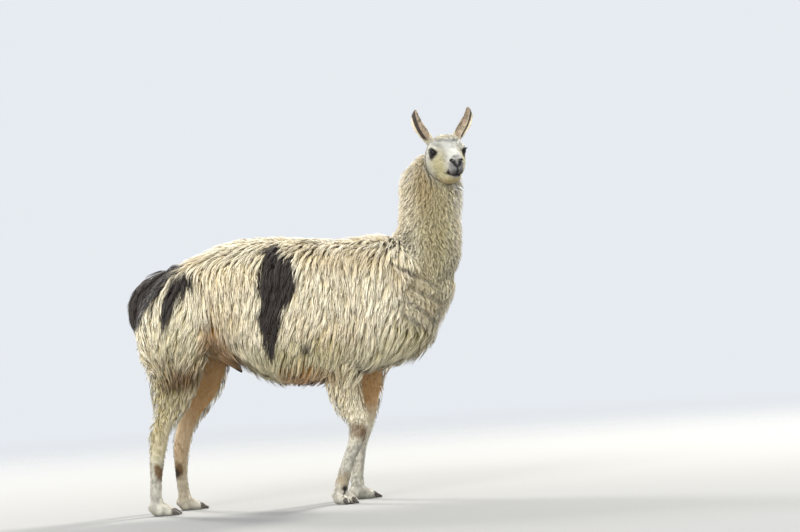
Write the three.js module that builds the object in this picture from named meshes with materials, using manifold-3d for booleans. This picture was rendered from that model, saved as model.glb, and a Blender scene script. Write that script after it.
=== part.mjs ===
// A standing llama at life size, in millimetres: +X towards its chest, +Y to its left, +Z up.
// The origin is on the floor, under the middle of its outline. It looks round to its right.
import * as THREE from "three";
import { mergeVertices } from "three/addons/utils/BufferGeometryUtils.js";
import Module from "manifold-3d";

const wasm = await Module();
wasm.setup();
const { degToRad } = THREE.MathUtils;

// ---------- driving dimensions ----------

const GAP = 0.3; // between touching parts
const THINNEST = 3; // half size that no section is drawn in past
const WOOL = 72; // depth of the fleece on the torso, skin to tips
const NECK_WOOL = 44;
const TAIL_WOOL = 44;
const CORE_SHARE = 0.5; // how much of that depth the locks stand clear of the core
const TORSO_BOX = 0.86; // section power: 1 is an ellipse, less is fuller
const LIMB_BOX = 0.95;
const HEAD_TURN = 77; // degrees, to the llama's right
const HEAD_NOD = 10; // degrees, nose down
const EYE_MIDDLE = [676, -119, 1501]; // the point between the eyes
const EYE_RADIUS = 20;
const EYE_SET = [-2, 61, 0]; // eyeball centre in the head: forward, sideways, up
const EYE_TURN = 0.5; // radians forward of straight out
const EYE_SIDES = 12;
const EAR_ROOT = [-94, 53, 30]; // forward, sideways, up
const EAR_HALF = 28;
const EAR_THICK = 16;
const EAR_ROWS = [
  // fraction of the length, bow outwards, swell
  [-0.25, -10, 0.7], // inside the skull
  [0, 0, 0.78],
  [0.2, 8, 0.98],
  [0.45, 17, 1.03],
  [0.7, 18, 0.78],
  [0.9, 8, 0.4],
  [1, 0, 0.14],
];
const EAR_LEAN = 65;
const EAR_FACING = { right: -0.35, left: 0.2 }; // how far forward each ear's outer edge is turned
const EAR_RISE = 150;
const FRONT_TRACK = 112; // half the distance between the front legs
const HIND_TRACK = 125;

const COLOURS = {
  fleece: { color: 0xd9cfb4, roughness: 0.95, metalness: 0 },
  tail: { color: 0x2b211c, roughness: 0.95, metalness: 0 },
  face: { color: 0xd8d4c8, roughness: 0.9, metalness: 0 },
  leg: { color: 0xc9bfa6, roughness: 0.92, metalness: 0 },
  ear: { color: 0xb39a84, roughness: 0.9, metalness: 0 },
  eye: { color: 0x120d0b, roughness: 0.08, metalness: 0 },
  claw: { color: 0x2a2523, roughness: 0.5, metalness: 0 },
};

// Torso rows: x, height of the back, height of the belly, half width.
const TORSO = [
  [-728, 905, 780, 55], // buttock
  [-702, 955, 735, 108],
  [-645, 1010, 700, 162],
  [-555, 1080, 682, 208],
  [-440, 1130, 675, 238], // hip
  [-330, 1172, 650, 254],
  [-230, 1186, 588, 264],
  [-120, 1187, 530, 270],
  [50, 1170, 519, 272], // ribs
  [200, 1150, 545, 262],
  [330, 1147, 568, 242], // withers
  [440, 1140, 598, 215],
  [530, 1110, 668, 182],
  [598, 1060, 775, 140],
  [644, 1005, 858, 90], // breastbone
  [660, 970, 905, 45],
];
// Each row is x, z, reach forward or up, reach backward or down, half width.
const NECK = [
  [480, 900, 140, 110, 140],
  [545, 1010, 142, 130, 148], // base
  [575, 1110, 133, 138, 134],
  [583, 1200, 128, 134, 121],
  [588, 1290, 126, 128, 106],
  [592, 1370, 124, 128, 97],
  [604, 1435, 106, 94, 86],
  [628, 1492, 70, 50, 70], // nape
  [642, 1525, 34, 30, 45],
];
const HAUNCH = [
  [-510, 1020, 90, 70, 70],
  [-532, 925, 150, 118, 108],
  [-555, 820, 182, 192, 116], // thigh
  [-572, 720, 176, 172, 104],
  [-585, 635, 128, 114, 76],
];
const HAUNCH_SIDE = [100, 118, 132, 136, 134]; // how far out each row of the haunch is
const TAIL = [
  [-560, 1062, 40, 45, 46], // dock
  [-640, 1015, 52, 48, 62],
  [-700, 955, 62, 55, 68],
  [-726, 888, 60, 54, 62],
  [-742, 830, 26, 28, 28],
];
// A skull row is forward, middle height, reach up, reach down, half width, all from between the eyes.
const SKULL = [
  [-138, 0, 34, 40, 34], // back of the skull
  [-118, -14, 72, 84, 62],
  [-80, -34, 108, 96, 82],
  [-40, -42, 122, 94, 88], // cheeks
  [-5, -42, 114, 84, 80],
  [30, -42, 88, 70, 63],
  [65, -40, 66, 60, 48], // bridge of the nose
  [100, -36, 56, 54, 39],
  [128, -38, 53, 45, 36],
  [148, -40, 47, 34, 32], // nose
  [160, -36, 26, 24, 18],
];
// A leg is posed by its joints (x, z) and filled out by the girths (forward, backward, half width) at each.
const FRONT_GIRTH = [
  [78, 80, 55],
  [78, 81, 57], // elbow
  [67, 69, 48],
  [50, 51, 42], // knee
  [33, 34, 32],
  [27, 28, 28], // cannon
  [28, 30, 32], // fetlock
  [29, 30, 33],
];
const HIND_GIRTH = [
  [116, 116, 68],
  [116, 118, 70], // stifle
  [95, 95, 60],
  [61, 59, 47],
  [50, 55, 40], // hock
  [40, 42, 34],
  [28, 28, 28], // cannon
  [26, 26, 30], // fetlock
  [28, 28, 33],
];
const LEGS = {
  front_right: {
    side: -FRONT_TRACK,
    girth: FRONT_GIRTH,
    bend: 343, // height of the knee or hock
    heading: -58,
    joints: [[150, 700], [150, 575], [172, 440], [208, 343], [190, 262], [158, 195], [122, 100], [113, 62]],
  },
  front_left: {
    side: FRONT_TRACK,
    girth: FRONT_GIRTH,
    bend: 343,
    heading: 6,
    joints: [[265, 700], [264, 575], [250, 450], [236, 343], [211, 262], [198, 190], [181, 95], [184, 60]],
  },
  hind_right: {
    side: -HIND_TRACK,
    girth: HIND_GIRTH,
    bend: 380,
    heading: -8,
    joints: [
      [-540, 760], [-560, 660], [-592, 530], [-616, 440], [-650, 380],
      [-672, 290], [-686, 180], [-693, 90], [-690, 58],
    ],
  },
  hind_left: {
    side: HIND_TRACK,
    girth: HIND_GIRTH,
    bend: 377,
    heading: 6,
    joints: [
      [-450, 760], [-460, 660], [-486, 535], [-518, 450], [-559, 377],
      [-585, 285], [-594, 175], [-590, 88], [-586, 58],
    ],
  },
};
// A toe row is forward, sideways, middle height, reach up, reach down, half width, from under the fetlock.
const TOE = [
  [-30, 12, 22, 14, 24, 16],
  [-16, 14, 34, 26, 38, 24], // heel
  [14, 18, 30, 28, 36, 25],
  [44, 20, 22, 21, 28, 22],
  [66, 21, 17, 14, 22, 17],
  [76, 21, 15, 8, 16, 11],
];
const CLAW = [
  [58, 21, 18, 12, 14, 12],
  [72, 22, 16, 13, 13, 12],
  [88, 23, 11, 9, 9, 9],
  [102, 23, 5, 4, 4, 3],
];
// The head's features are ellipsoids: middle (forward, sideways, up), radii and turn in radians.
const BROW = { middle: [-2, 60, 14], radii: [34, 22, 22], turn: -0.3 };
const UPPER_LIP = { middle: [141, 14, -56], radii: [23, 20, 27], turn: 0 };
const LOWER_LIP = { middle: [124, 0, -86], radii: [27, 21, 13], turn: 0 };
const NOSTRIL = { middle: [155, 19, -12], radii: [11, 6, 5], turn: 0.35 };
const MOUTH = { size: [84, 96, 3], middle: [134, 0, -80], slope: 4, depth: 6 };
const LID_THICK = 5;
const PASTERN = { middle: [0, 0, 48], radii: [30, 33, 30] }; // where the two toes join

const LOCK_SIDES = 3; // a ridge outside and a flat underside
const LOCK_RINGS = 3; // and a pointed tip
const LOCK_STATIONS = [0, 2, 4, 6]; // steps along the lock to its root, belly, bend and tip
const LOCK_SINK = -14; // height of the root over the core
const LOCK_RISE = [0.42, 0.9, 1]; // heights at the belly, bend and tip, as shares of the clear depth
const LOCK_SHAPE = [0.55, 1, 0.74, 0.06]; // share of the width at root, belly, bend and tip
const LOCK_THICK = [8, 8, 5.5, 1.5]; // half thickness at the same places
const LOCK_SAG = 0.45; // how freely a lock falls away where the body turns under
const ROOM = { tip: 10, width: 8, thickness: 2 }; // how many gaps the room round a lock adds on each

// The torso's locks stand in a row along the back, in rows round the flanks, and in fans at both ends.
const TORSO_LOCK_WIDTH = 100;
const TORSO_MIDDLE = 870; // height that they fan out from
const RIDGE = { from: 440, to: -540, pitch: 118, length: 225 };
const FLANK = { from: -560, to: 540, pitch: 121 };
const FLANK_ROWS = [[18, 245], [42, 245], [65, 240], [88, 225], [112, 190], [136, 130]]; // angle, length
const BREAST = { x: 470, turns: [16, 50], rows: [[990, 190], [885, 175], [780, 150]] }; // height, length
const RUMP = { x: -560, turns: [36, 64], rows: [[950, 200], [845, 190], [740, 150]] };
const NECK_LOCKS = { x: 590, rows: [1455, 1372, 1289, 1206, 1123, 1050], round: 7, length: 150, width: 88 };
const TAIL_LOCKS = {
  rows: [[-600, 1035], [-672, 980], [-716, 910]],
  turns: [-52, 0, 52],
  length: 140,
  width: 62,
};

// ---------- solids ----------

function solid(geometry) {
  const bare = geometry.clone();
  bare.deleteAttribute("normal");
  bare.deleteAttribute("uv");
  const merged = mergeVertices(bare, 1e-4);
  return new wasm.Manifold(
    new wasm.Mesh({
      numProp: 3,
      vertProperties: new Float32Array(merged.attributes.position.array),
      triVerts: new Uint32Array(merged.index.array),
    }),
  );
}

function geometryOf(manifold) {
  const mesh = manifold.getMesh();
  const geometry = new THREE.BufferGeometry();
  geometry.setAttribute("position", new THREE.BufferAttribute(new Float32Array(mesh.vertProperties), 3));
  geometry.setIndex(new THREE.BufferAttribute(new Uint32Array(mesh.triVerts), 1));
  geometry.computeVertexNormals();
  return geometry;
}

function largest(manifold) {
  return manifold.decompose().reduce((a, b) => (b.volume() > a.volume() ? b : a));
}

// A body swept along a spine. A station holds its centre, its forward and backward reach and its half width.
class Sweep {
  constructor(stations, sideways, power, facing = null) {
    this.stations = stations;
    this.spine = new THREE.CatmullRomCurve3(stations.map((s) => s.centre));
    this.reach = new THREE.CatmullRomCurve3(stations.map((s) => s.reach));
    this.sideways = sideways.clone().normalize();
    this.power = power;
    this.facing = facing; // set where every ring faces the same way
  }

  // The same body with every section drawn in by a depth.
  slimmer(depth) {
    const drawnIn = (size) => Math.max(size - depth, THINNEST);
    return new Sweep(
      this.stations.map(({ centre, reach }) => ({
        centre,
        reach: new THREE.Vector3(...reach.toArray().map(drawnIn)),
      })),
      this.sideways,
      this.power,
      this.facing,
    );
  }

  // The point at t along the spine and at an angle round it: 0 is forward or up, a quarter turn is sideways.
  point(t, angle, grow = 0) {
    const centre = this.spine.getPoint(t);
    const along = this.facing ?? this.spine.getTangent(t);
    const forward = new THREE.Vector3().crossVectors(this.sideways, along).normalize();
    const size = this.reach.getPoint(t);
    const c = Math.cos(angle);
    const s = Math.sin(angle);
    const reach = c > 0 ? size.x : size.y;
    const f = Math.sign(c) * Math.abs(c) ** this.power * (reach + grow);
    const w = Math.sign(s) * Math.abs(s) ** this.power * (size.z + grow);
    return centre.addScaledVector(forward, f).addScaledVector(this.sideways, w);
  }

  // A sphere's rows of vertices are moved onto the rings of the body, and its poles close the two ends.
  // A pointed body has no last ring, only a tip.
  solid(rings, sides, grow = 0, pointed = false) {
    const geometry = new THREE.SphereGeometry(1, sides, rings + 1);
    const position = geometry.attributes.position;
    const columns = sides + 1;
    for (let i = 0; i < position.count; i++) {
      const row = Math.floor(i / columns);
      const column = i % columns;
      const angle = ((column % sides) / sides) * 2 * Math.PI;
      const t = THREE.MathUtils.clamp((row - 1) / (pointed ? rings : rings - 1), 0, 1);
      const pole = row === 0 || row === rings + 1;
      const p = pole ? this.spine.getPoint(t) : this.point(t, angle, grow);
      if (t === 0 || t === 1) p.addScaledVector(this.spine.getTangent(t), t === 0 ? -grow : grow);
      position.setXYZ(i, p.x, p.y, p.z);
    }
    const made = solid(geometry);
    return made.volume() < 0 ? solid(flippedOver(geometry)) : made;
  }
}

function flippedOver(geometry) {
  const flipped = geometry.clone();
  const index = flipped.index.array;
  for (let i = 0; i < index.length; i += 3) [index[i + 1], index[i + 2]] = [index[i + 2], index[i + 1]];
  return flipped;
}

const SIDEWAYS = new THREE.Vector3(0, 1, 0);
const DOWN = new THREE.Vector3(0, 0, -1);
const station = (x, y, z, forward, backward, half) => ({
  centre: new THREE.Vector3(x, y, z),
  reach: new THREE.Vector3(forward, backward, half),
});

// An ellipsoid at its own side of the middle plane, turned towards it about the vertical.
function ellipsoid({ middle, radii, turn = 0 }, side = 1, grow = 0, detail = 9) {
  const geometry = new THREE.SphereGeometry(1, detail, Math.round(detail * 0.7));
  geometry.scale(...radii.map((radius) => radius + grow));
  geometry.rotateZ(side * turn);
  geometry.translate(middle[0], side * middle[1], middle[2]);
  return solid(geometry);
}

function block(low, high) {
  const geometry = new THREE.BoxGeometry(high[0] - low[0], high[1] - low[1], high[2] - low[2]);
  geometry.translate((low[0] + high[0]) / 2, (low[1] + high[1]) / 2, (low[2] + high[2]) / 2);
  return solid(geometry);
}

// ---------- locks ----------

function randomFrom(seed) {
  let state = seed;
  return (low, high) => {
    state = (state * 1664525 + 1013904223) % 4294967296;
    return low + (high - low) * (state / 4294967296);
  };
}

// A surface that rays can be cast at, to root locks on it.
class Coat {
  constructor(manifold) {
    this.mesh = new THREE.Mesh(geometryOf(manifold), new THREE.MeshBasicMaterial());
    this.mesh.updateMatrixWorld();
    this.ray = new THREE.Raycaster();
  }

  hit(from, towards) {
    this.ray.set(from, towards.clone().normalize());
    const [first] = this.ray.intersectObject(this.mesh);
    return first ? { point: first.point, normal: first.normal.clone().normalize() } : null;
  }

  // The outermost point in a direction from a point inside.
  around(inside, outward) {
    const away = outward.clone().normalize();
    return this.hit(inside.clone().addScaledVector(away, 1200), away.negate());
  }

  // The next place one step along the lie, and how far the lock falls away from the body on the way.
  step({ point, normal }, lie, sway, length) {
    const along = lie.clone().addScaledVector(normal, -lie.dot(normal)).normalize();
    along.addScaledVector(new THREE.Vector3().crossVectors(normal, along), sway).normalize();
    const next = point.clone().addScaledVector(along, length);
    const found = this.hit(next.clone().addScaledVector(normal, 60), normal.clone().negate());
    const near = found && found.point.distanceTo(next) < length;
    return near ? found : { point: next, normal };
  }
}

// A lock follows the coat along its lie and rises from its sunk root out to the tips.
function lockPath(coat, root, lie, length, clear, sway) {
  const heights = [LOCK_SINK, ...LOCK_RISE.map((share) => share * clear)];
  const steps = LOCK_STATIONS[3];
  const places = [];
  let at = root;
  let fallen = 0;
  for (let i = 0; i <= steps; i++) {
    const k = LOCK_STATIONS.indexOf(i);
    if (k >= 0) places.push(at.point.clone().addScaledVector(at.normal, heights[k] + fallen));
    at = coat.step(at, lie, sway * Math.cos((i / steps) * Math.PI), length / steps);
    fallen += (length / steps) * LOCK_SAG * Math.max(-at.normal.z - 0.15, 0);
  }
  return places;
}

// The faces of a lock meet at sharp edges, so room round it takes more on its width and tip than on its
// thickness, to keep the gap on every face.
function lockBody(path, normal, width, thin, grow) {
  const along = path[3].clone().sub(path[0]);
  const tip = path[3].clone().sub(path[2]).setLength(ROOM.tip * grow).add(path[3]);
  const half = LOCK_SHAPE.map((share) => (width / 2) * share + ROOM.width * grow);
  const thick = LOCK_THICK.map((t) => t * thin + ROOM.thickness * grow);
  const places = [path[0], path[1], path[2], tip];
  const sweep = new Sweep(
    places.map((p, i) => station(p.x, p.y, p.z, thick[i], thick[i], half[i])),
    new THREE.Vector3().crossVectors(along, normal),
    1,
  );
  return sweep.solid(LOCK_RINGS, LOCK_SIDES, 0, true);
}

// Roots hold where a lock stands, its lie, length and width. The body that comes back can be grown by the
// gap, as room for it.
function growLocks(core, coat, roots, clear, seed) {
  const draw = randomFrom(seed);
  const thin = Math.min(1, clear / 30);
  const locks = roots.map(({ root, lie, length, width }) => {
    const long = length * draw(0.88, 1.12);
    const path = lockPath(coat, root, lie, long, clear * draw(0.92, 1.08), draw(-0.2, 0.2));
    return [path, root.normal, width * draw(0.92, 1.08), thin];
  });
  return (grow) => {
    const bodies = locks.map((lock) => lockBody(...lock, grow));
    return largest(wasm.Manifold.union([core(grow), ...bodies]));
  };
}

// ---------- trunk, neck and tail ----------

const rowOf = ([x, z, forward, backward, half]) => station(x, 0, z, forward, backward, half);
const trunk = new Sweep(
  TORSO.map(([x, top, bottom, half]) =>
    station(x, 0, (top + bottom) / 2, (top - bottom) / 2, (top - bottom) / 2, half),
  ),
  SIDEWAYS.clone().negate(),
  TORSO_BOX,
  new THREE.Vector3(1, 0, 0),
);
const neck = new Sweep(NECK.map(rowOf), SIDEWAYS, LIMB_BOX);
const tail = new Sweep(TAIL.map(rowOf), SIDEWAYS.clone().negate(), LIMB_BOX);
const haunches = [-1, 1].map(
  (side) =>
    new Sweep(
      HAUNCH.map(([x, z, forward, backward, half], i) =>
        station(x, side * HAUNCH_SIDE[i], z, forward, backward, half),
      ),
      SIDEWAYS,
      LIMB_BOX,
    ),
);

function barrel(depth, grow) {
  const bare = trunk.slimmer(depth).solid(13, 16, grow);
  return haunches.reduce((body, haunch) => body.add(haunch.slimmer(depth).solid(5, 12, grow)), bare);
}

function plantOn(coat, roots, width) {
  return (inside, outward, lie, length) => {
    const root = coat.around(inside, outward);
    if (root) roots.push({ root, lie, length, width });
  };
}

// A level direction turned away from straight ahead (or straight back) towards one side.
function turned(degrees, side, ahead) {
  return new THREE.Vector3(ahead * Math.cos(degToRad(degrees)), side * Math.sin(degToRad(degrees)), 0);
}

function torsoRoots(coat) {
  const draw = randomFrom(7);
  const roots = [];
  const plant = plantOn(coat, roots, TORSO_LOCK_WIDTH);
  for (let x = RIDGE.from; x > RIDGE.to; x -= RIDGE.pitch) {
    const lie = new THREE.Vector3(-1, draw(-0.2, 0.2), 0);
    plant(new THREE.Vector3(x, 0, TORSO_MIDDLE), DOWN.clone().negate(), lie, RIDGE.length);
  }
  for (const side of [-1, 1]) {
    FLANK_ROWS.forEach(([degrees, length], row) => {
      const a = degToRad(degrees);
      for (let x = FLANK.from + ((row % 2) * FLANK.pitch) / 2; x < FLANK.to; x += FLANK.pitch) {
        const outward = new THREE.Vector3(draw(-0.05, 0.05), side * Math.sin(a), Math.cos(a));
        const lie = new THREE.Vector3(-0.3 - draw(0, 0.25), side * 0.7, -1.2);
        plant(new THREE.Vector3(x, 0, TORSO_MIDDLE), outward, lie, length);
      }
    });
    for (const [end, ahead] of [[BREAST, 1], [RUMP, -1]]) {
      for (const [z, length] of end.rows) {
        for (const turn of end.turns) {
          plant(new THREE.Vector3(end.x, 0, z), turned(turn, side, ahead), DOWN, length);
        }
      }
    }
  }
  return roots;
}

function neckRoots(coat) {
  const draw = randomFrom(23);
  const roots = [];
  const plant = plantOn(coat, roots, NECK_LOCKS.width);
  NECK_LOCKS.rows.forEach((z, row) => {
    for (let k = 0; k < NECK_LOCKS.round; k++) {
      const a = ((k + (row % 2) / 2) / NECK_LOCKS.round) * 2 * Math.PI;
      const outward = new THREE.Vector3(Math.cos(a), Math.sin(a), 0);
      const lie = new THREE.Vector3(draw(-0.25, 0), draw(-0.1, 0.1), -1);
      plant(new THREE.Vector3(NECK_LOCKS.x, 0, z), outward, lie, NECK_LOCKS.length);
    }
  });
  return roots;
}

function tailRoots(coat) {
  const roots = [];
  const plant = plantOn(coat, roots, TAIL_LOCKS.width);
  const lie = new THREE.Vector3(-0.35, 0, -1);
  for (const [x, z] of TAIL_LOCKS.rows) {
    for (const turn of TAIL_LOCKS.turns) {
      const outward = turned(turn, 1, -0.7).setZ(0.6 * Math.cos(degToRad(turn)));
      plant(new THREE.Vector3(x, 0, z), outward, lie, TAIL_LOCKS.length);
    }
  }
  return roots;
}

// ---------- head ----------

const headFrame = (() => {
  const turn = degToRad(-HEAD_TURN);
  const nod = degToRad(HEAD_NOD);
  const nodded = new THREE.Matrix4().makeRotationY(nod);
  const rotation = new THREE.Matrix4().makeRotationZ(turn).multiply(nodded);
  return new THREE.Matrix4().makeTranslation(...EYE_MIDDLE).multiply(rotation);
})();
const inHead = (manifold) => manifold.transform(headFrame.elements);
const skull = new Sweep(SKULL.map(rowOf), SIDEWAYS.clone().negate(), 0.84);

const EYE = { middle: EYE_SET, radii: [EYE_RADIUS, EYE_RADIUS, EYE_RADIUS], turn: EYE_TURN };
const eyeball = (side, grow = 0) => ellipsoid(EYE, side, grow, EYE_SIDES);
const skullSolid = (grow) => skull.solid(15, 16, grow);

// The lids are one ring round the eyeball, drawn out to the corners and turned forward with the eye.
function lids(side) {
  const ring = new THREE.TorusGeometry(EYE_RADIUS - 2, LID_THICK, 4, EYE_SIDES);
  ring.scale(1.15, 0.88, 1);
  ring.rotateX(Math.PI / 2);
  ring.translate(0, side * 12, 0);
  ring.rotateZ(-side * EYE_TURN);
  ring.translate(EYE_SET[0], side * EYE_SET[1], EYE_SET[2]);
  return solid(ring);
}

// Only the outer few millimetres of the slit are cut, so the mouth is a closed line.
function mouthGroove() {
  const slit = new THREE.BoxGeometry(...MOUTH.size);
  slit.rotateY(degToRad(MOUTH.slope));
  slit.translate(...MOUTH.middle);
  return solid(slit).subtract(skullSolid(-MOUTH.depth));
}

function makeHead() {
  let head = skullSolid(0).add(ellipsoid(LOWER_LIP));
  for (const side of [-1, 1]) {
    head = head.add(ellipsoid(BROW, side)).add(ellipsoid(UPPER_LIP, side)).add(lids(side));
  }
  head = head.subtract(mouthGroove());
  for (const side of [-1, 1]) head = head.subtract(ellipsoid(NOSTRIL, side)).subtract(eyeball(side, GAP));
  return largest(head);
}

// A curved ear with its cup facing forward: a horn-shaped body less a slimmer one set ahead of it.
function makeEar(side) {
  const shape = (half, thick, shift) =>
    new Sweep(
      EAR_ROWS.map(([s, bow, swell]) =>
        station(
          EAR_ROOT[0] + shift,
          side * (EAR_ROOT[1] + EAR_LEAN * s + bow),
          EAR_ROOT[2] + EAR_RISE * s,
          thick * swell,
          thick * swell,
          half * swell,
        ),
      ),
      new THREE.Vector3(side > 0 ? EAR_FACING.left : EAR_FACING.right, side, 0),
      LIMB_BOX,
    );
  const outer = shape(EAR_HALF, EAR_THICK, 0).solid(10, 12);
  const hollow = shape(EAR_HALF - 6, EAR_THICK - 2, 10).solid(10, 10);
  return outer.subtract(hollow.subtract(block([-200, -200, -200], [200, 200, EAR_ROOT[2] + 24])));
}

// ---------- legs ----------

function legSweep(leg) {
  return new Sweep(
    leg.joints.map(([x, z], i) => station(x, leg.side, z, ...leg.girth[i])),
    SIDEWAYS,
    LIMB_BOX,
  );
}

function footFrame(leg) {
  const [x] = leg.joints[leg.joints.length - 1];
  const turn = degToRad(leg.heading);
  const turnedFoot = new THREE.Matrix4().makeRotationZ(turn);
  return new THREE.Matrix4().makeTranslation(x, leg.side, 0).multiply(turnedFoot);
}

function toeSweep(rows, side) {
  return new Sweep(
    rows.map(([x, y, z, up, down, half]) => station(x, side * y, z, up, down, half)),
    SIDEWAYS.clone().negate(),
    LIMB_BOX,
  );
}

const aboveFloor = block([-2000, -1000, 0], [2000, 1000, 3000]);

const toeSolid = (side, grow) => toeSweep(TOE, side).solid(6, 8, grow);
const footSolid = (grow) => ellipsoid(PASTERN, 1, grow).add(toeSolid(-1, grow)).add(toeSolid(1, grow));

function makeFoot(leg) {
  return largest(footSolid(0).transform(footFrame(leg).elements).intersect(aboveFloor));
}

function makeClaw(leg, side) {
  const claw = toeSweep(CLAW, side).solid(4, 6).subtract(toeSolid(side, GAP));
  return largest(claw.transform(footFrame(leg).elements).intersect(aboveFloor));
}

// ---------- the whole animal ----------

const llama = new THREE.Group();
llama.name = "llama";

function place(name, manifold, look) {
  const material = new THREE.MeshStandardMaterial(COLOURS[look]);
  const mesh = new THREE.Mesh(geometryOf(manifold), material);
  mesh.name = name;
  llama.add(mesh);
}

const torsoCore = (grow) => barrel(WOOL * (1 - CORE_SHARE), grow);
const torsoCoat = new Coat(torsoCore(0));
const torsoOf = growLocks(torsoCore, torsoCoat, torsoRoots(torsoCoat), WOOL * CORE_SHARE, 11);
const torsoRoom = torsoOf(GAP);
place("torso", torsoOf(0), "fleece");

const neckSkin = neck.slimmer(NECK_WOOL * (1 - CORE_SHARE));
const neckCore = (grow) => neckSkin.solid(8, 14, grow);
const neckCoat = new Coat(neckCore(0));
const neckOf = growLocks(neckCore, neckCoat, neckRoots(neckCoat), NECK_WOOL * CORE_SHARE, 31);
const tailSkin = tail.slimmer(TAIL_WOOL * (1 - CORE_SHARE));
const tailCore = (grow) => tailSkin.solid(6, 10, grow);
const tailCoat = new Coat(tailCore(0));
const tailOf = growLocks(tailCore, tailCoat, tailRoots(tailCoat), TAIL_WOOL * CORE_SHARE, 41);

const headSolid = inHead(makeHead());
const headRoom = inHead(skullSolid(GAP));
place("head", headSolid, "face");
place("neck", largest(neckOf(0).subtract(torsoRoom).subtract(headRoom)), "fleece");
place("tail", largest(tailOf(0).subtract(torsoRoom)), "tail");

for (const [word, side] of [["right", -1], ["left", 1]]) {
  place(`eye_${word}`, inHead(eyeball(side)), "eye");
  place(`ear_${word}`, largest(inHead(makeEar(side)).subtract(headRoom)), "ear");
}

for (const [name, leg] of Object.entries(LEGS)) {
  const foot = makeFoot(leg);
  const limb = legSweep(leg);
  const footRoom = footSolid(GAP).transform(footFrame(leg).elements);
  const shape = limb.solid(12, 10).subtract(torsoRoom).subtract(footRoom);
  const above = block([-1000, -500, leg.bend + GAP / 2], [1000, 500, 1200]);
  const below = block([-1000, -500, -10], [1000, 500, leg.bend - GAP / 2]);
  place(`upper_leg_${name}`, largest(shape.intersect(above)), "leg");
  place(`lower_leg_${name}`, largest(shape.intersect(below)), "leg");
  place(`foot_${name}`, foot, "leg");
  place(`claw_${name}_outer`, makeClaw(leg, Math.sign(leg.side)), "claw");
  place(`claw_${name}_inner`, makeClaw(leg, -Math.sign(leg.side)), "claw");
}

export default llama;
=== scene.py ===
"""A standing llama in long fleece, its head turned to its right: skin, wool, short fur, eyes and claws."""

import math

import bpy
import numpy as np
from bpy.props import FloatProperty, FloatVectorProperty, IntProperty, PointerProperty
from mathutils import Matrix, Vector
from mathutils.bvhtree import BVHTree
from mathutils.kdtree import KDTree


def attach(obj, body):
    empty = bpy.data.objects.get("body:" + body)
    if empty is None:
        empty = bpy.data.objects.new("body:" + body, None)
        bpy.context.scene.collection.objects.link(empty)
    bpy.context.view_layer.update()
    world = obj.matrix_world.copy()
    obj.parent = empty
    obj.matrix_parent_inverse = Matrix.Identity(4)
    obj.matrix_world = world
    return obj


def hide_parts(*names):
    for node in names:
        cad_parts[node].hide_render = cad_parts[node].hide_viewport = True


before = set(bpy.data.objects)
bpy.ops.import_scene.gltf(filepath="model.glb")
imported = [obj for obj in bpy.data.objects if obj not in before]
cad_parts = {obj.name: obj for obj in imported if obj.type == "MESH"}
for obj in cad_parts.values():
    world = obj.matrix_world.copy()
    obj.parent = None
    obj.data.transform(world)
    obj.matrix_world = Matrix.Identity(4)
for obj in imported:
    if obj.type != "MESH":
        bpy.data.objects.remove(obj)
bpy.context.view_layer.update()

bl_info = {
    "name": "Llama in Fleece",
    "version": (1, 0, 0),
    "blender": (4, 5, 0),
    "location": "View3D > Sidebar > Llama",
    "description": "Builds a standing llama with its skin, fleece, short fur, eyes and claws",
    "category": "Add Mesh",
}

# ---------- the body's own sizes, in metres: the rows that the solids are swept through ----------

# Torso rows: x, height of the back, height of the belly, half width, out to the tips of the fleece.
TORSO = [
    (-0.728, 0.905, 0.780, 0.055),
    (-0.702, 0.955, 0.735, 0.108),
    (-0.645, 1.010, 0.700, 0.162),
    (-0.555, 1.080, 0.682, 0.208),
    (-0.440, 1.130, 0.675, 0.238),
    (-0.330, 1.172, 0.650, 0.254),
    (-0.230, 1.186, 0.588, 0.264),
    (-0.120, 1.187, 0.530, 0.270),
    (0.050, 1.170, 0.519, 0.272),
    (0.200, 1.150, 0.545, 0.262),
    (0.330, 1.147, 0.568, 0.242),
    (0.440, 1.140, 0.598, 0.215),
    (0.530, 1.110, 0.668, 0.182),
    (0.598, 1.060, 0.775, 0.140),
    (0.644, 1.005, 0.858, 0.090),
    (0.660, 0.970, 0.905, 0.045),
]
# Each row is x, z, reach forward or up, reach backward or down, half width.
NECK = [
    (0.480, 0.900, 0.140, 0.110, 0.140),
    (0.545, 1.010, 0.142, 0.130, 0.148),
    (0.575, 1.110, 0.133, 0.138, 0.134),
    (0.583, 1.200, 0.128, 0.134, 0.121),
    (0.588, 1.290, 0.126, 0.128, 0.106),
    (0.592, 1.370, 0.124, 0.128, 0.097),
    (0.604, 1.435, 0.106, 0.094, 0.086),
    (0.628, 1.492, 0.070, 0.050, 0.070),
    (0.642, 1.525, 0.034, 0.030, 0.045),
]
HAUNCH = [
    (-0.510, 1.020, 0.090, 0.070, 0.070),
    (-0.532, 0.925, 0.150, 0.118, 0.108),
    (-0.555, 0.820, 0.182, 0.192, 0.116),
    (-0.572, 0.720, 0.176, 0.172, 0.104),
    (-0.585, 0.635, 0.128, 0.114, 0.076),
]
HAUNCH_SIDE = (0.100, 0.118, 0.132, 0.136, 0.134)
TAIL = [
    (-0.560, 1.062, 0.040, 0.045, 0.046),
    (-0.640, 1.015, 0.052, 0.048, 0.062),
    (-0.700, 0.955, 0.062, 0.055, 0.068),
    (-0.726, 0.888, 0.060, 0.054, 0.062),
    (-0.742, 0.830, 0.026, 0.028, 0.028),
]
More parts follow.
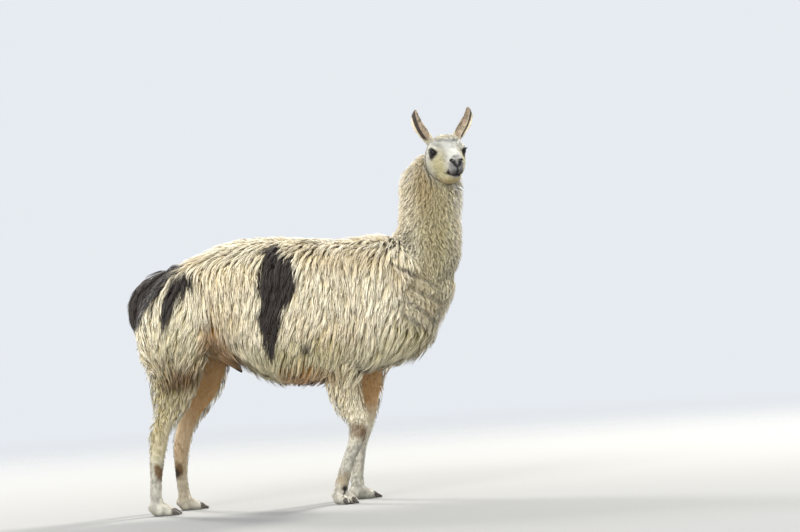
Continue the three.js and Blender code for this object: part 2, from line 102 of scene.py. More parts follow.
# A skull row is forward, middle height, reach up, reach down, half width, all from between the eyes.
SKULL = [
    (-0.138, 0.000, 0.034, 0.040, 0.034),
    (-0.118, -0.014, 0.072, 0.084, 0.062),
    (-0.080, -0.034, 0.102, 0.096, 0.082),
    (-0.040, -0.042, 0.115, 0.094, 0.088),
    (-0.005, -0.042, 0.108, 0.084, 0.080),
    (0.030, -0.042, 0.088, 0.070, 0.063),
    (0.065, -0.040, 0.066, 0.060, 0.048),
    (0.100, -0.036, 0.056, 0.054, 0.039),
    (0.128, -0.038, 0.053, 0.045, 0.036),
    (0.148, -0.040, 0.047, 0.034, 0.032),
    (0.160, -0.036, 0.026, 0.024, 0.018),
]
EYE_MIDDLE = (0.676, -0.119, 1.501)
HEAD_TURN = math.radians(-77)
HEAD_NOD = math.radians(10)
EYE_SET = (-0.002, 0.061, 0.0)
EYE_RADIUS = 0.020
EYE_TURN = 0.5
EAR_ROOT = (-0.094, 0.053, 0.030)
EAR_HALF = 0.028
EAR_THICK = 0.016
EAR_LEAN = 0.065
EAR_RISE = 0.150
# An ear row is a share of the length, bow outwards and swell.
EAR_ROWS = [
    (-0.25, -0.010, 0.7),
    (0.0, 0.0, 0.78),
    (0.2, 0.008, 0.98),
    (0.45, 0.017, 1.03),
    (0.7, 0.018, 0.78),
    (0.9, 0.008, 0.4),
    (1.0, 0.0, 0.14),
]
FRONT_GIRTH = [
    (0.078, 0.080, 0.055),
    (0.078, 0.081, 0.057),
    (0.067, 0.069, 0.048),
    (0.050, 0.051, 0.042),
    (0.033, 0.034, 0.032),
    (0.027, 0.028, 0.028),
    (0.028, 0.030, 0.032),
    (0.029, 0.030, 0.033),
]
HIND_GIRTH = [
    (0.116, 0.116, 0.068),
    (0.116, 0.118, 0.070),
    (0.095, 0.095, 0.060),
    (0.061, 0.059, 0.047),
    (0.050, 0.055, 0.040),
    (0.040, 0.042, 0.034),
    (0.028, 0.028, 0.028),
    (0.026, 0.026, 0.030),
    (0.028, 0.028, 0.033),
]
# Each leg: its side, its girths (forward, backward, half width), the foot's heading and its joints (x, z).
LEGS = {
    "front_right": (
        -0.112,
        FRONT_GIRTH,
        -58,
        [(0.150, 0.700), (0.150, 0.575), (0.172, 0.440), (0.208, 0.343),
         (0.190, 0.262), (0.158, 0.195), (0.122, 0.100), (0.113, 0.062)],
    ),
    "front_left": (
        0.112,
        FRONT_GIRTH,
        6,
        [(0.265, 0.700), (0.264, 0.575), (0.250, 0.450), (0.236, 0.343),
         (0.211, 0.262), (0.198, 0.190), (0.181, 0.095), (0.184, 0.060)],
    ),
    "hind_right": (
        -0.125,
        HIND_GIRTH,
        -8,
        [(-0.540, 0.760), (-0.560, 0.660), (-0.592, 0.530), (-0.616, 0.440), (-0.650, 0.380),
         (-0.672, 0.290), (-0.686, 0.180), (-0.693, 0.090), (-0.690, 0.058)],
    ),
    "hind_left": (
        0.125,
        HIND_GIRTH,
        6,
        [(-0.450, 0.760), (-0.460, 0.660), (-0.486, 0.535), (-0.518, 0.450), (-0.559, 0.377),
         (-0.585, 0.285), (-0.594, 0.175), (-0.590, 0.088), (-0.586, 0.058)],
    ),
}
# A toe row is forward, sideways, middle height, reach up, reach down, half width, from under the fetlock.
TOE = [
    (-0.030, 0.012, 0.022, 0.014, 0.024, 0.016),
    (-0.016, 0.014, 0.034, 0.026, 0.038, 0.024),
    (0.014, 0.018, 0.030, 0.028, 0.036, 0.025),
    (0.044, 0.020, 0.022, 0.021, 0.028, 0.022),
    (0.066, 0.021, 0.017, 0.014, 0.022, 0.017),
    (0.076, 0.021, 0.015, 0.008, 0.016, 0.011),
]
CLAW = [
    (0.058, 0.021, 0.018, 0.012, 0.014, 0.012),
    (0.072, 0.022, 0.016, 0.013, 0.013, 0.012),
    (0.088, 0.023, 0.011, 0.009, 0.009, 0.009),
    (0.102, 0.023, 0.005, 0.004, 0.004, 0.003),
]
# The sheath between the thighs: x, z, reach forward and backward, half width.
SHEATH = [
    (-0.415, 0.750, 0.055, 0.060, 0.070),
    (-0.372, 0.700, 0.042, 0.044, 0.048),
    (-0.330, 0.650, 0.026, 0.026, 0.028),
    (-0.304, 0.616, 0.013, 0.012, 0.013),
    (-0.290, 0.597, 0.004, 0.004, 0.004),
]
TORSO_BOX = 0.86  # section power: 1 is an ellipse, less is fuller
SKULL_BOX = 0.84
LIMB_BOX = 0.95
SIDES = {"right": -1, "left": 1}
SIDEWAYS = np.array((0.0, 1.0, 0.0))


# ---------- shapes ----------


def unit(v):
    """Vectors scaled to length one along the last axis."""
    return v / np.maximum(np.linalg.norm(v, axis=-1, keepdims=True), 1e-9)


def smooth_step(low, high, x):
    """0 below low, 1 above high and a smooth rise between."""
    t = np.clip((x - low) / (high - low), 0, 1)
    return t * t * (3 - 2 * t)


def along_rows(rows, t):
    """Points at t, 0 to 1, on a smooth curve through the rows."""
    rows = np.asarray(rows, float)
    last = len(rows) - 1
    u = np.clip(t, 0, 1) * last
    i = np.minimum(u.astype(int), last - 1)
    f = (u - i)[..., None]
    p = np.vstack([2 * rows[0] - rows[1], rows, 2 * rows[-1] - rows[-2]])
    a, b, c, d = (p[i + k] for k in range(4))
    return b + 0.5 * f * (c - a + f * (2 * a - 5 * b + 4 * c - d + f * (3 * (b - c) + d - a)))


class Sweep:
    """A body swept along a spine: centres, reaches (forward, backward, half width) and the way across."""

    def __init__(self, centres, reaches, sideways, power, facing=None):
        self.centres = np.asarray(centres, float)
        self.reaches = np.asarray(reaches, float)
        self.sideways = unit(np.asarray(sideways, float))
        self.power = power
        self.facing = facing

    def tangent(self, t):
        ahead = along_rows(self.centres, t + 0.01) - along_rows(self.centres, t - 0.01)
        return unit(ahead) if self.facing is None else np.broadcast_to(self.facing, ahead.shape)

    def point(self, t, angle):
        """Points at t along the spine and at an angle round it: 0 is forward, a quarter turn is sideways."""
        forward = unit(np.cross(self.sideways, self.tangent(t)))
        size = along_rows(self.reaches, t)
        c, s = np.cos(angle), np.sin(angle)
        reach = np.where(c > 0, size[..., 0], size[..., 1])
        f = np.sign(c) * np.abs(c) ** self.power * reach
        w = np.sign(s) * np.abs(s) ** self.power * size[..., 2]
        return along_rows(self.centres, t) + f[..., None] * forward + w[..., None] * self.sideways


def row_sweep(rows, sideways, power, depth=0.0, side_of_row=None):
    """A sweep through rows of x, z and reaches, in the middle plane or set to one side."""
    sides = side_of_row or [0.0] * len(rows)
    centres = [(r[0], y, r[1]) for r, y in zip(rows, sides)]
    reaches = [[max(v - depth, 0.003) for v in r[2:5]] for r in rows]
    return Sweep(centres, reaches, sideways, power)


def trunk_sweep(depth):
    centres = [(x, 0, (top + bottom) / 2) for x, top, bottom, _ in TORSO]
    reaches = [[max(v - depth, 0.003) for v in ((top - bottom) / 2, (top - bottom) / 2, half)]
               for _, top, bottom, half in TORSO]
    return Sweep(centres, reaches, -SIDEWAYS, TORSO_BOX, np.array((1.0, 0.0, 0.0)))


def leg_sweep(name, depth_of):
    """A leg whose coat thins from depth_of(z) at the top to the fetlock."""
    side, girth, _, joints = LEGS[name]
    centres = [(x, side, z) for x, z in joints]
    reaches = [[max(v - depth_of(z), 0.004) for v in g] for g, (_, z) in zip(girth, joints)]
    return Sweep(centres, reaches, SIDEWAYS, LIMB_BOX)


def toe_sweep(rows, side, depth=0.0):
    centres = [(x, side * y, z) for x, y, z, _, _, _ in rows]
    reaches = [[max(v - depth, 0.002) for v in r[3:6]] for r in rows]
    return Sweep(centres, reaches, -SIDEWAYS, LIMB_BOX)


def head_matrix():
    turn = Matrix.Rotation(HEAD_TURN, 4, "Z") @ Matrix.Rotation(HEAD_NOD, 4, "Y")
    return Matrix.Translation(EYE_MIDDLE) @ turn


def foot_matrix(name):
    side, _, heading, joints = LEGS[name]
    return Matrix.Translation((joints[-1][0], side, 0)) @ Matrix.Rotation(math.radians(heading), 4, "Z")


def placed(points, matrix):
    """Points moved by a matrix."""
    m = np.array(matrix)
    return points @ m[:3, :3].T + m[:3, 3]


def unplaced(points, matrix):
    return placed(points, matrix.inverted())


# ---------- mesh helpers ----------


def coords(mesh):
    co = np.empty(len(mesh.vertices) * 3, np.float32)
    mesh.vertices.foreach_get("co", co)
    return co.reshape(-1, 3).astype(float)


def set_coords(mesh, points):
    mesh.vertices.foreach_set("co", np.asarray(points, np.float32).ravel())
    mesh.update()


def vertex_normals(mesh):
    no = np.empty(len(mesh.vertices) * 3, np.float32)
    mesh.vertex_normals.foreach_get("vector", no)
    return no.reshape(-1, 3).astype(float)


def only(obj):
    """Selects this object alone and makes it the active one."""
    bpy.ops.object.select_all(action="DESELECT")
    obj.select_set(True)
    bpy.context.view_layer.objects.active = obj
    return obj


def start_from_ball(name, segments, rings, radius=1.0):
    """A ball to be shaped, as the one selected object."""
    bpy.ops.object.select_all(action="DESELECT")
    bpy.ops.mesh.primitive_uv_sphere_add(segments=segments, ring_count=rings, radius=radius)
    ball = bpy.context.active_object
    ball.name = name
    ball.data.name = name
    return ball


def swept(name, sweep, rings, sides, matrix=None):
    """A ball whose rings of vertices are moved onto the rings of a sweep, its poles closing the ends."""
    ball = start_from_ball(name, sides, rings + 1)
    co = coords(ball.data)
    row = np.rint(np.arccos(np.clip(co[:, 2], -1, 1)) / math.pi * (rings + 1)).astype(int)
    angle = np.arctan2(co[:, 1], co[:, 0])
    t = np.clip((row - 1) / (rings - 1), 0, 1)
    pole = (row == 0) | (row == rings + 1)
    points = np.where(pole[:, None], along_rows(sweep.centres, t), sweep.point(t, angle))
    set_coords(ball.data, points if matrix is None else placed(points, matrix))
    only(ball)
    bpy.ops.object.mode_set(mode="EDIT")
    bpy.ops.mesh.select_all(action="SELECT")
    bpy.ops.mesh.normals_make_consistent(inside=False)
    bpy.ops.object.mode_set(mode="OBJECT")
    return ball


def egg(name, middle, radii, turn=0.0, matrix=None, tilt=0.0):
    """An ellipsoid, turned about the vertical and tilted about the way across."""
    ball = start_from_ball(name, 40, 24)
    co = coords(ball.data) * np.array(radii)
    spin = Matrix.Translation(middle) @ Matrix.Rotation(turn, 4, "Z") @ Matrix.Rotation(tilt, 4, "Y")
    set_coords(ball.data, placed(co, spin if matrix is None else matrix @ spin))
    return ball


def joined(name, objects):
    bpy.ops.object.select_all(action="DESELECT")
    for obj in objects:
        obj.select_set(True)
    bpy.context.view_layer.objects.active = objects[0]
    if len(objects) > 1:
        bpy.ops.object.join()
    whole = bpy.context.active_object
    whole.name = name
    whole.data.name = name
    return whole


def with_modifier(obj, kind, **settings):
    """The object with one modifier added and applied."""
    only(obj)
    bpy.ops.object.modifier_add(type=kind)
    modifier = obj.modifiers[-1]
    for key, value in settings.items():
        setattr(modifier, key, value)
    bpy.ops.object.modifier_apply(modifier=modifier.name)
    return obj


def fused(name, objects, voxel, smoothing, factor=0.5):
    """Overlapping bodies made one even surface, with its dents and joins relaxed."""
    body = joined(name, objects)
    with_modifier(body, "REMESH", mode="VOXEL", voxel_size=voxel)
    return with_modifier(body, "SMOOTH", factor=factor, iterations=smoothing)


def smooth_shaded(obj):
    obj.data.polygons.foreach_set("use_smooth", np.ones(len(obj.data.polygons), bool))
    obj.data.update()
    return obj


# ---------- the skin ----------

FLESH = ["torso", "neck", "head", "tail", "ear_right", "ear_left"]
FLESH += [f"{part}_{leg}" for leg in LEGS for part in ("upper_leg", "lower_leg", "foot")]
HEAD = head_matrix()
CORE_DEPTH = 0.044  # how far the torso's skin lies inside the tips of its fleece
NECK_DEPTH = 0.026
TAIL_DEPTH = 0.026
HEAD_DEPTH = 0.003
FOOT_DEPTH = 0.0025


def leg_depth(z):
    """The depth of coat on a leg: woolly above the knee and hock, short below."""
    return 0.003 + 0.013 * float(smooth_step(0.24, 0.42, z))


def carcass():
    """Trunk, haunches, neck, tail and the tops of the legs as one coarse body."""
    parts = [
        swept("trunk", trunk_sweep(CORE_DEPTH), 48, 48),
        swept("neck_core", row_sweep(NECK, SIDEWAYS, LIMB_BOX, NECK_DEPTH), 40, 40),
        swept("tail_core", row_sweep(TAIL, -SIDEWAYS, LIMB_BOX, TAIL_DEPTH), 24, 24),
    ]
    parts.append(egg("withers", (0.285, 0.0, 1.050), (0.320, 0.115, 0.068)))
    for side in SIDES.values():
        rows = row_sweep(HAUNCH, SIDEWAYS, LIMB_BOX, CORE_DEPTH, [side * y for y in HAUNCH_SIDE])
        parts.append(swept("haunch", rows, 30, 32))
    return fused("carcass", parts, 0.014, 6)


def limb(name):
    """One leg and its foot of two padded toes, flat under the soles."""
    parts = [swept("shank", leg_sweep(name, leg_depth), 60, 32)]
    foot = foot_matrix(name)
    inset = FOOT_DEPTH
    parts.append(egg("pastern", (0, 0, 0.048), (0.030 - inset, 0.033 - inset, 0.030 - inset), matrix=foot))
    for side in (-1, 1):
        parts.append(swept("toe", toe_sweep(TOE, side, inset), 24, 24, foot))
    leg = fused(f"limb_{name}", parts, 0.0056, 3)
    co = coords(leg.data)
    co[:, 2] = np.maximum(co[:, 2], 0.0)
    set_coords(leg.data, co)
    return leg


EAR_WALL = 0.0055
EAR_FACING = (-0.35, 0.2)  # how far forward the right and the left ear's outer edge is turned


class Cupped(Sweep):
    """A sweep whose front is drawn in behind its edges, as an ear's cup, between its root and its tip."""

    def point(self, t, angle):
        forward = unit(np.cross(self.sideways, self.tangent(t)))
        size = along_rows(self.reaches, t)
        c, s = np.cos(angle), np.sin(angle)
        opened = smooth_step(0.2, 0.36, t) * (1 - smooth_step(0.93, 1.0, t))
        bulge = np.abs(c) ** self.power
        wall = np.minimum(EAR_WALL, 1.6 * size[..., 1]) * smooth_step(0, 0.25, np.abs(c))
        front = bulge * size[..., 0] * (1 - opened) + (wall - bulge * size[..., 1]) * opened
        f = np.where(c > 0, front, -bulge * size[..., 1])
        w = np.sign(s) * np.abs(s) ** self.power * size[..., 2]
        return along_rows(self.centres, t) + f[..., None] * forward + w[..., None] * self.sideways


def ear_sweep(side):
    """A curved ear with its cup facing forward."""
    centres = [(EAR_ROOT[0], side * (EAR_ROOT[1] + EAR_LEAN * s + bow), EAR_ROOT[2] + EAR_RISE * s)
               for s, bow, _ in EAR_ROWS]
    reaches = [(EAR_THICK * swell, EAR_THICK * swell, EAR_HALF * swell) for _, _, swell in EAR_ROWS]
    facing = EAR_FACING[0 if side < 0 else 1]
    return Cupped(centres, reaches, (facing, side, 0), LIMB_BOX)


def head_block():
    """Skull, brows, lips, chin and ears as one fine surface."""
    skull = row_sweep(SKULL, -SIDEWAYS, SKULL_BOX, HEAD_DEPTH)
    parts = [swept("skull", skull, 60, 48, HEAD)]
    parts.append(egg("chin", (0.122, 0, -0.085), (0.026, 0.020, 0.013), matrix=HEAD))
    parts.append(egg("jowl", (0.000, 0, -0.090), (0.092, 0.054, 0.047), matrix=HEAD))
    for side in SIDES.values():
        parts.append(egg("brow", (-0.002, side * 0.058, 0.014), (0.033, 0.020, 0.020), side * -0.3, HEAD))
        parts.append(egg("lip", (0.140, side * 0.013, -0.056), (0.022, 0.018, 0.026), 0.0, HEAD))
        parts.append(swept("ear", ear_sweep(side), 60, 40, HEAD))
    return fused("head_block", parts, 0.0025, 3)


def carve_face(mesh):
    """Opens the eyes between their lids, and draws in the nostrils, the mouth and the split of the lip."""
    co = unplaced(coords(mesh), HEAD)
    for side in SIDES.values():
        co = open_eye(co, side)
        co = nostril(co, side)
    co = mouth(co)
    set_coords(mesh, placed(co, HEAD))


def eye_axes(side):
    """The eye's own directions: outward, forward along its opening, and up."""
    outward = np.array((math.sin(EYE_TURN), side * math.cos(EYE_TURN), 0.0))
    along = np.array((math.cos(EYE_TURN), -side * math.sin(EYE_TURN), 0.0))
    return outward, along, np.array((0.0, 0.0, 1.0))


EYE_OPENING = (0.0185, 0.0125)  # half its length and half its height
LID_RADIUS = EYE_RADIUS + 0.0028


def open_eye(co, side):
    """Vertices in the opening sink behind the eyeball, and those round it rise onto rolled lids."""
    outward, along, up = eye_axes(side)
    d = co - np.array((EYE_SET[0], side * EYE_SET[1], EYE_SET[2]))
    out = d @ outward
    h, v = d @ along, d @ up
    slant = v + 0.22 * h  # the inner corner is lower
    ring = np.hypot(h / EYE_OPENING[0], slant / EYE_OPENING[1])
    facing = (out > 0.0) & (np.linalg.norm(d, axis=1) < 0.06)
    radius = np.linalg.norm(d, axis=1)
    lid = LID_RADIUS + 0.0022 * np.exp(-(((ring - 1.22) / 0.2) ** 2))
    behind = EYE_RADIUS - 0.004
    on_ball = behind + (lid - behind) * smooth_step(0.9, 1.12, ring)
    blend = 1 - smooth_step(1.35, 2.3, ring)
    wanted = radius + (on_ball - radius) * np.where(facing, blend, 0.0)
    return np.array((EYE_SET[0], side * EYE_SET[1], EYE_SET[2])) + d * (wanted / np.maximum(radius, 1e-6))[:, None]


def nostril(co, side):
    """A slanting slit, drawn back into the nose, with a soft rim."""
    d = co - np.array((0.150, side * 0.0200, -0.0195))
    across = d[:, 1] * side
    slit = np.hypot((across - 0.35 * d[:, 2]) / 0.0115, (d[:, 2] + 0.45 * across) / 0.0054)
    near = (np.abs(d[:, 0]) < 0.03) & (co[:, 0] > 0.115)
    depth = np.where(near, 0.011 * (1 - smooth_step(0.35, 1.15, slit)), 0.0)
    rim = np.where(near, 0.0016 * np.exp(-(((slit - 1.6) / 0.4) ** 2)), 0.0)
    push = unit(np.array((1.0, side * 0.5, 0.1)))
    return co - push * (depth - rim)[:, None]


def mouth(co):
    """The line of the mouth, rising to its corners, and the split in the upper lip."""
    f, s, u = co.T
    line = -0.082 + 0.05 * np.clip(0.135 - f, 0, 0.1)
    gap = np.abs(u - line)
    in_mouth = smooth_step(0.086, 0.094, f) * (f > 0.08)
    groove = 0.0042 * in_mouth * np.exp(-((gap / 0.0022) ** 2))
    inward = unit(np.stack([np.where(f > 0.13, 1.0, 0.15), s / 0.03, np.zeros_like(s)], axis=1))
    split = 0.0035 * (f > 0.14) * np.exp(-((s / 0.0022) ** 2)) * smooth_step(-0.085, -0.078, u)
    split *= 1 - smooth_step(-0.036, -0.022, u)
    return co - inward * groove[:, None] - np.array((1.0, 0, 0)) * split[:, None]


def union(body, part):
    """The body and the part as one closed surface."""
    only(body)
    bpy.ops.object.modifier_add(type="BOOLEAN")
    join = body.modifiers[-1]
    join.operation = "UNION"
    join.solver = "MANIFOLD"
    join.object = part
    bpy.ops.object.modifier_apply(modifier=join.name)
    bpy.data.objects.remove(part)
    return body


def make_skin():
    skin = carcass()
    for name in LEGS:
        skin = union(skin, limb(name))
    skin = union(skin, swept("sheath", row_sweep(SHEATH, SIDEWAYS, LIMB_BOX), 30, 24))
    head = head_block()
    carve_face(head.data)
    skin = union(skin, head)
    skin.name = "skin"
    skin.data.name = "skin"
    return smooth_shaded(skin)


# ---------- hair ----------


class Hide:
    """The skin as a place to root hair: its faces, the part that each belongs to, and a tree to find it by."""

    def __init__(self, skin):
        mesh = skin.data
        mesh.calc_loop_triangles()
        tris = np.empty(len(mesh.loop_triangles) * 3, np.int32)
        mesh.loop_triangles.foreach_get("vertices", tris)
        self.tris = tris.reshape(-1, 3)
        self.co = coords(mesh)
        self.normals = vertex_normals(mesh)
        corner = self.co[self.tris]
        cross = np.cross(corner[:, 1] - corner[:, 0], corner[:, 2] - corner[:, 0])
        self.area = np.linalg.norm(cross, axis=1) / 2
        self.centre = corner.mean(axis=1)
        self.tree = BVHTree.FromPolygons(self.co.tolist(), self.tris.tolist())
        self.part = self.parts_of(self.centre)

    @staticmethod
    def parts_of(points):
        """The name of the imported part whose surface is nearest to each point."""
        verts, polygons, owner = [], [], []
        for name in FLESH:
            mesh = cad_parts[name].data
            start = len(verts)
            verts += coords(mesh).tolist()
            polygons += [[start + i for i in p.vertices] for p in mesh.polygons]
            owner += [name] * len(mesh.polygons)
        tree = BVHTree.FromPolygons(verts, polygons)
        return np.array([owner[tree.find_nearest(Vector(p))[2]] for p in points])

    def scatter(self, mask, count, draw):
        """Random points with their normals, spread evenly over the faces that the mask takes."""
        faces = np.flatnonzero(mask)
        share = np.cumsum(self.area[faces])
        chosen = faces[np.searchsorted(share, draw.random(count) * share[-1])]
        a, b = draw.random((2, count))
        flip = a + b > 1
        a, b = np.where(flip, 1 - a, a), np.where(flip, 1 - b, b)
        weights = np.stack([1 - a - b, a, b], axis=1)[..., None]
        points = (self.co[self.tris[chosen]] * weights).sum(axis=1)
        normals = unit((self.normals[self.tris[chosen]] * weights).sum(axis=1))
        return points, normals

    def nearest(self, points):
        found = [self.tree.find_nearest(Vector(p)) for p in points]
        where = np.array([f[0] for f in found])
        face = self.tris[[f[2] for f in found]]
        return where, unit(self.normals[face].sum(axis=1))


def spaced(points, gap):
    """The indices of points kept so that no two are closer than the gap."""
    kept, cells = [], {}
    for i, p in enumerate(points):
        cell = tuple((p // gap).astype(int))
        near = (cells.get((cell[0] + a, cell[1] + b, cell[2] + c), ())
                for a in (-1, 0, 1) for b in (-1, 0, 1) for c in (-1, 0, 1))
        if all(np.dot(points[j] - p, points[j] - p) > gap * gap for group in near for j in group):
            kept.append(i)
            cells.setdefault(cell, []).append(i)
    return np.array(kept)


def drift(points, scale, phase):
    """A smooth wandering value between -1 and 1."""
    x, y, z = (points * scale).T
    waves = np.sin(1.7 * x + 0.9 * y + phase), np.sin(1.3 * y - 1.9 * z + 2.1 * phase)
    return (waves[0] + waves[1] + np.sin(1.1 * z + 2.3 * x + 0.7 * phase)) / 3


def laid(lie, normals):
    """Directions laid flat on the skin."""
    return unit(lie - (lie * normals).sum(axis=1, keepdims=True) * normals)


def swung(direction, normals, angle):
    """Directions swung about the skin's normal."""
    a = angle[:, None]
    return direction * np.cos(a) + np.cross(normals, direction) * np.sin(a)


LOCK_STEPS = 6
RISE = np.array([-0.05, 0.42, 0.68, 0.85, 0.95, 1.0, 1.0])  # height at each step, as a share of the clear depth


class Coat:
    """One kind of hair: how long, deep, wide, wavy and close its locks and strands are, how it lies, and how much
    painted shade darkens the edges of its locks.
    """

    def __init__(self, lie, length, depth, spacing, strands, width, wave=0.0, wavelength=0.05, clump=0.4,
                 sag=0.4, flare=0.1, rings=4, swing=0.15, flat=0.45, bulge=0.0, uneven=0.08, shortest=0.55,
                 valley_shade=0.32, groove=None):
        self.lie = lie
        self.length = length
        self.depth = depth
        self.spacing = spacing
        self.strands = strands
        self.width = width
        self.wave = wave
        self.wavelength = wavelength
        self.clump = clump
        self.sag = sag
        self.flare = flare
        self.rings = rings
        self.swing = swing
        self.flat = flat
        self.bulge = bulge
        self.uneven = uneven
        self.shortest = shortest
        self.valley_shade = valley_shade
        self.groove = groove


def walk_locks(hide, coat, roots, normals, lengths, draw):
    """Each lock's stations and frames (along, across, out), as it follows the skin along the coat's lie."""
    count = len(roots)
    swing = draw.uniform(-0.5, 0.5, count) * coat.swing
    clear = coat.depth(roots, normals) * draw.uniform(1 - coat.uneven, 1 + coat.uneven, count)
    at, out = roots.copy(), normals.copy()
    fallen = np.zeros(count)
    stations = np.empty((LOCK_STEPS + 1, count, 3))
    frames = np.empty((LOCK_STEPS + 1, 3, count, 3))
    step = lengths / LOCK_STEPS
    for k in range(LOCK_STEPS + 1):
        lie = laid(coat.lie(at, out), out)
        lie = swung(lie, out, swing + 0.8 * coat.swing * drift(at, 9.0, 1.3))
        stations[k] = at + out * (RISE[k] * clear + fallen)[:, None]
        frames[k] = lie, np.cross(out, lie), out
        ahead = at + lie * step[:, None]
        found, normal = hide.nearest(ahead)
        close = np.linalg.norm(found - ahead, axis=1) < 0.7 * step + 0.004
        at = np.where(close[:, None], found, ahead)
        out = np.where(close[:, None], unit(0.4 * out + 0.6 * normal), out)
        fallen += step * coat.sag * np.maximum(-out[:, 2] - 0.15, 0)
    return stations, frames


def sampled(values, s):
    """Values at s, 0 to 1 along their first axis, for strands that are on the second."""
    last = len(values) - 1
    u = np.clip(s * last, 0, last + 0.6)
    i = np.minimum(u.astype(int), last - 1)
    f = (u - i)[:, None]
    n = np.arange(len(s))
    return values[i, n] * (1 - f) + values[i + 1, n] * f


SHAPES = {
    2: (np.array([0.0, 0.5, 1.0]), np.array([0.85, 1.0, 0.0])),
    3: (np.array([0.0, 0.35, 0.7, 1.0]), np.array([0.7, 1.0, 0.72, 0.0])),
    4: (np.array([0.0, 0.26, 0.52, 0.78, 1.0]), np.array([0.7, 1.0, 0.9, 0.6, 0.0])),
    5: (np.array([0.0, 0.2, 0.4, 0.6, 0.8, 1.0]), np.array([0.7, 1.0, 0.95, 0.82, 0.55, 0.0])),
}


def grow(hide, coat, mask, seed):
    """Strands over the faces that the mask takes, as arrays of paths, sides, widths, roots and tones."""
    draw = np.random.default_rng(seed)
    area = hide.area[mask].sum()
    tries, normals = hide.scatter(mask, int(4.0 * area / coat.spacing**2) + 8, draw)
    kept = spaced(tries, coat.spacing)
    roots, normals = tries[kept], normals[kept]
    lengths = coat.length(roots, normals) * draw.uniform(0.8, 1.15, len(roots))
    stations, frames = walk_locks(hide, coat, roots, normals, lengths, draw)

    count = int(len(roots) * coat.strands)
    places, outs = hide.scatter(mask, count, draw)
    finder = KDTree(len(roots))
    for i, p in enumerate(roots):
        finder.insert(p, i)
    finder.balance()
    lock = np.array([finder.find(p)[1] for p in places])
    away = places - roots[lock]
    offset = [(away * frames[0, axis][lock]).sum(axis=1) for axis in range(3)]
    fan = draw.normal(0, 1, (3, count)) * coat.flare * lengths[lock] * 0.35
    reach = draw.uniform(coat.shortest, 1.12, count)
    edge = np.clip(offset[1] / (0.62 * coat.spacing), -1.3, 1.3)
    phase = (draw.random(len(roots)) * 2 * math.pi)[lock] + draw.normal(0, 0.5, count)
    sway = coat.wave * (draw.uniform(0.5, 1.3, len(roots))[lock])
    stops, shape = SHAPES[coat.rings]
    paths = np.empty((count, coat.rings + 1, 3))
    sides = np.empty((count, coat.rings + 1, 3))
    ups = np.empty((count, coat.rings + 1, 3))
    softs = np.empty((count, coat.rings + 1, 3))
    by_lock = stations[:, lock]
    by_frame = frames[:, :, lock]
    twist = draw.normal(0, 0.45, count)
    for k, stop in enumerate(stops):
        s = stop * reach
        along, across, out = (sampled(by_frame[:, axis], s) for axis in range(3))
        hold = 1 - coat.clump * np.minimum(s, 1) ** 0.8
        wave = np.sin(2 * math.pi * s * lengths[lock] / coat.wavelength + phase) * sway * np.minimum(2.5 * s, 1)
        a = offset[0] * hold + fan[0] * s
        b = offset[1] * hold + fan[1] * s + wave
        c = offset[2] * (1 - s) + np.abs(fan[2]) * s * 0.8 + 0.5 * wave - coat.bulge * edge**2 * np.minimum(2 * s, 1)
        p = sampled(by_lock, s) + a[:, None] * along + b[:, None] * across + c[:, None] * out
        if coat.groove:
            p = p - coat.groove(p)[:, None] * out
        if k == 0:
            p = places - 0.003 * outs
        paths[:, k] = p
        sides[:, k] = unit(across * np.cos(twist)[:, None] + out * np.sin(twist)[:, None])
        ups[:, k] = unit(out * np.cos(twist)[:, None] - across * np.sin(twist)[:, None])
        softs[:, k] = unit(out + (0.55 * edge)[:, None] * across)
    widths = coat.width * draw.uniform(0.65, 1.3, count) * np.sqrt(lengths / lengths.max())[lock]
    # Painted shade: strands at a lock's edges take the darker root tone, for the shade in the valleys between locks.
    depth = 1 - coat.valley_shade * np.minimum(np.abs(edge), 1) ** 2
    tone = np.stack([draw.random(count), draw.random(len(roots))[lock]], axis=1)
    return {"paths": paths, "sides": sides, "ups": ups, "softs": softs, "widths": widths, "shape": shape,
            "flat": coat.flat, "depth": depth, "roots": places, "spots": paths[:, (coat.rings + 1) // 2], "tone": tone}


def chosen(strands, mask):
    """Only the strands that the mask takes."""
    return {key: value[mask] if isinstance(value, np.ndarray) and len(value) == len(mask) else value
            for key, value in strands.items()}


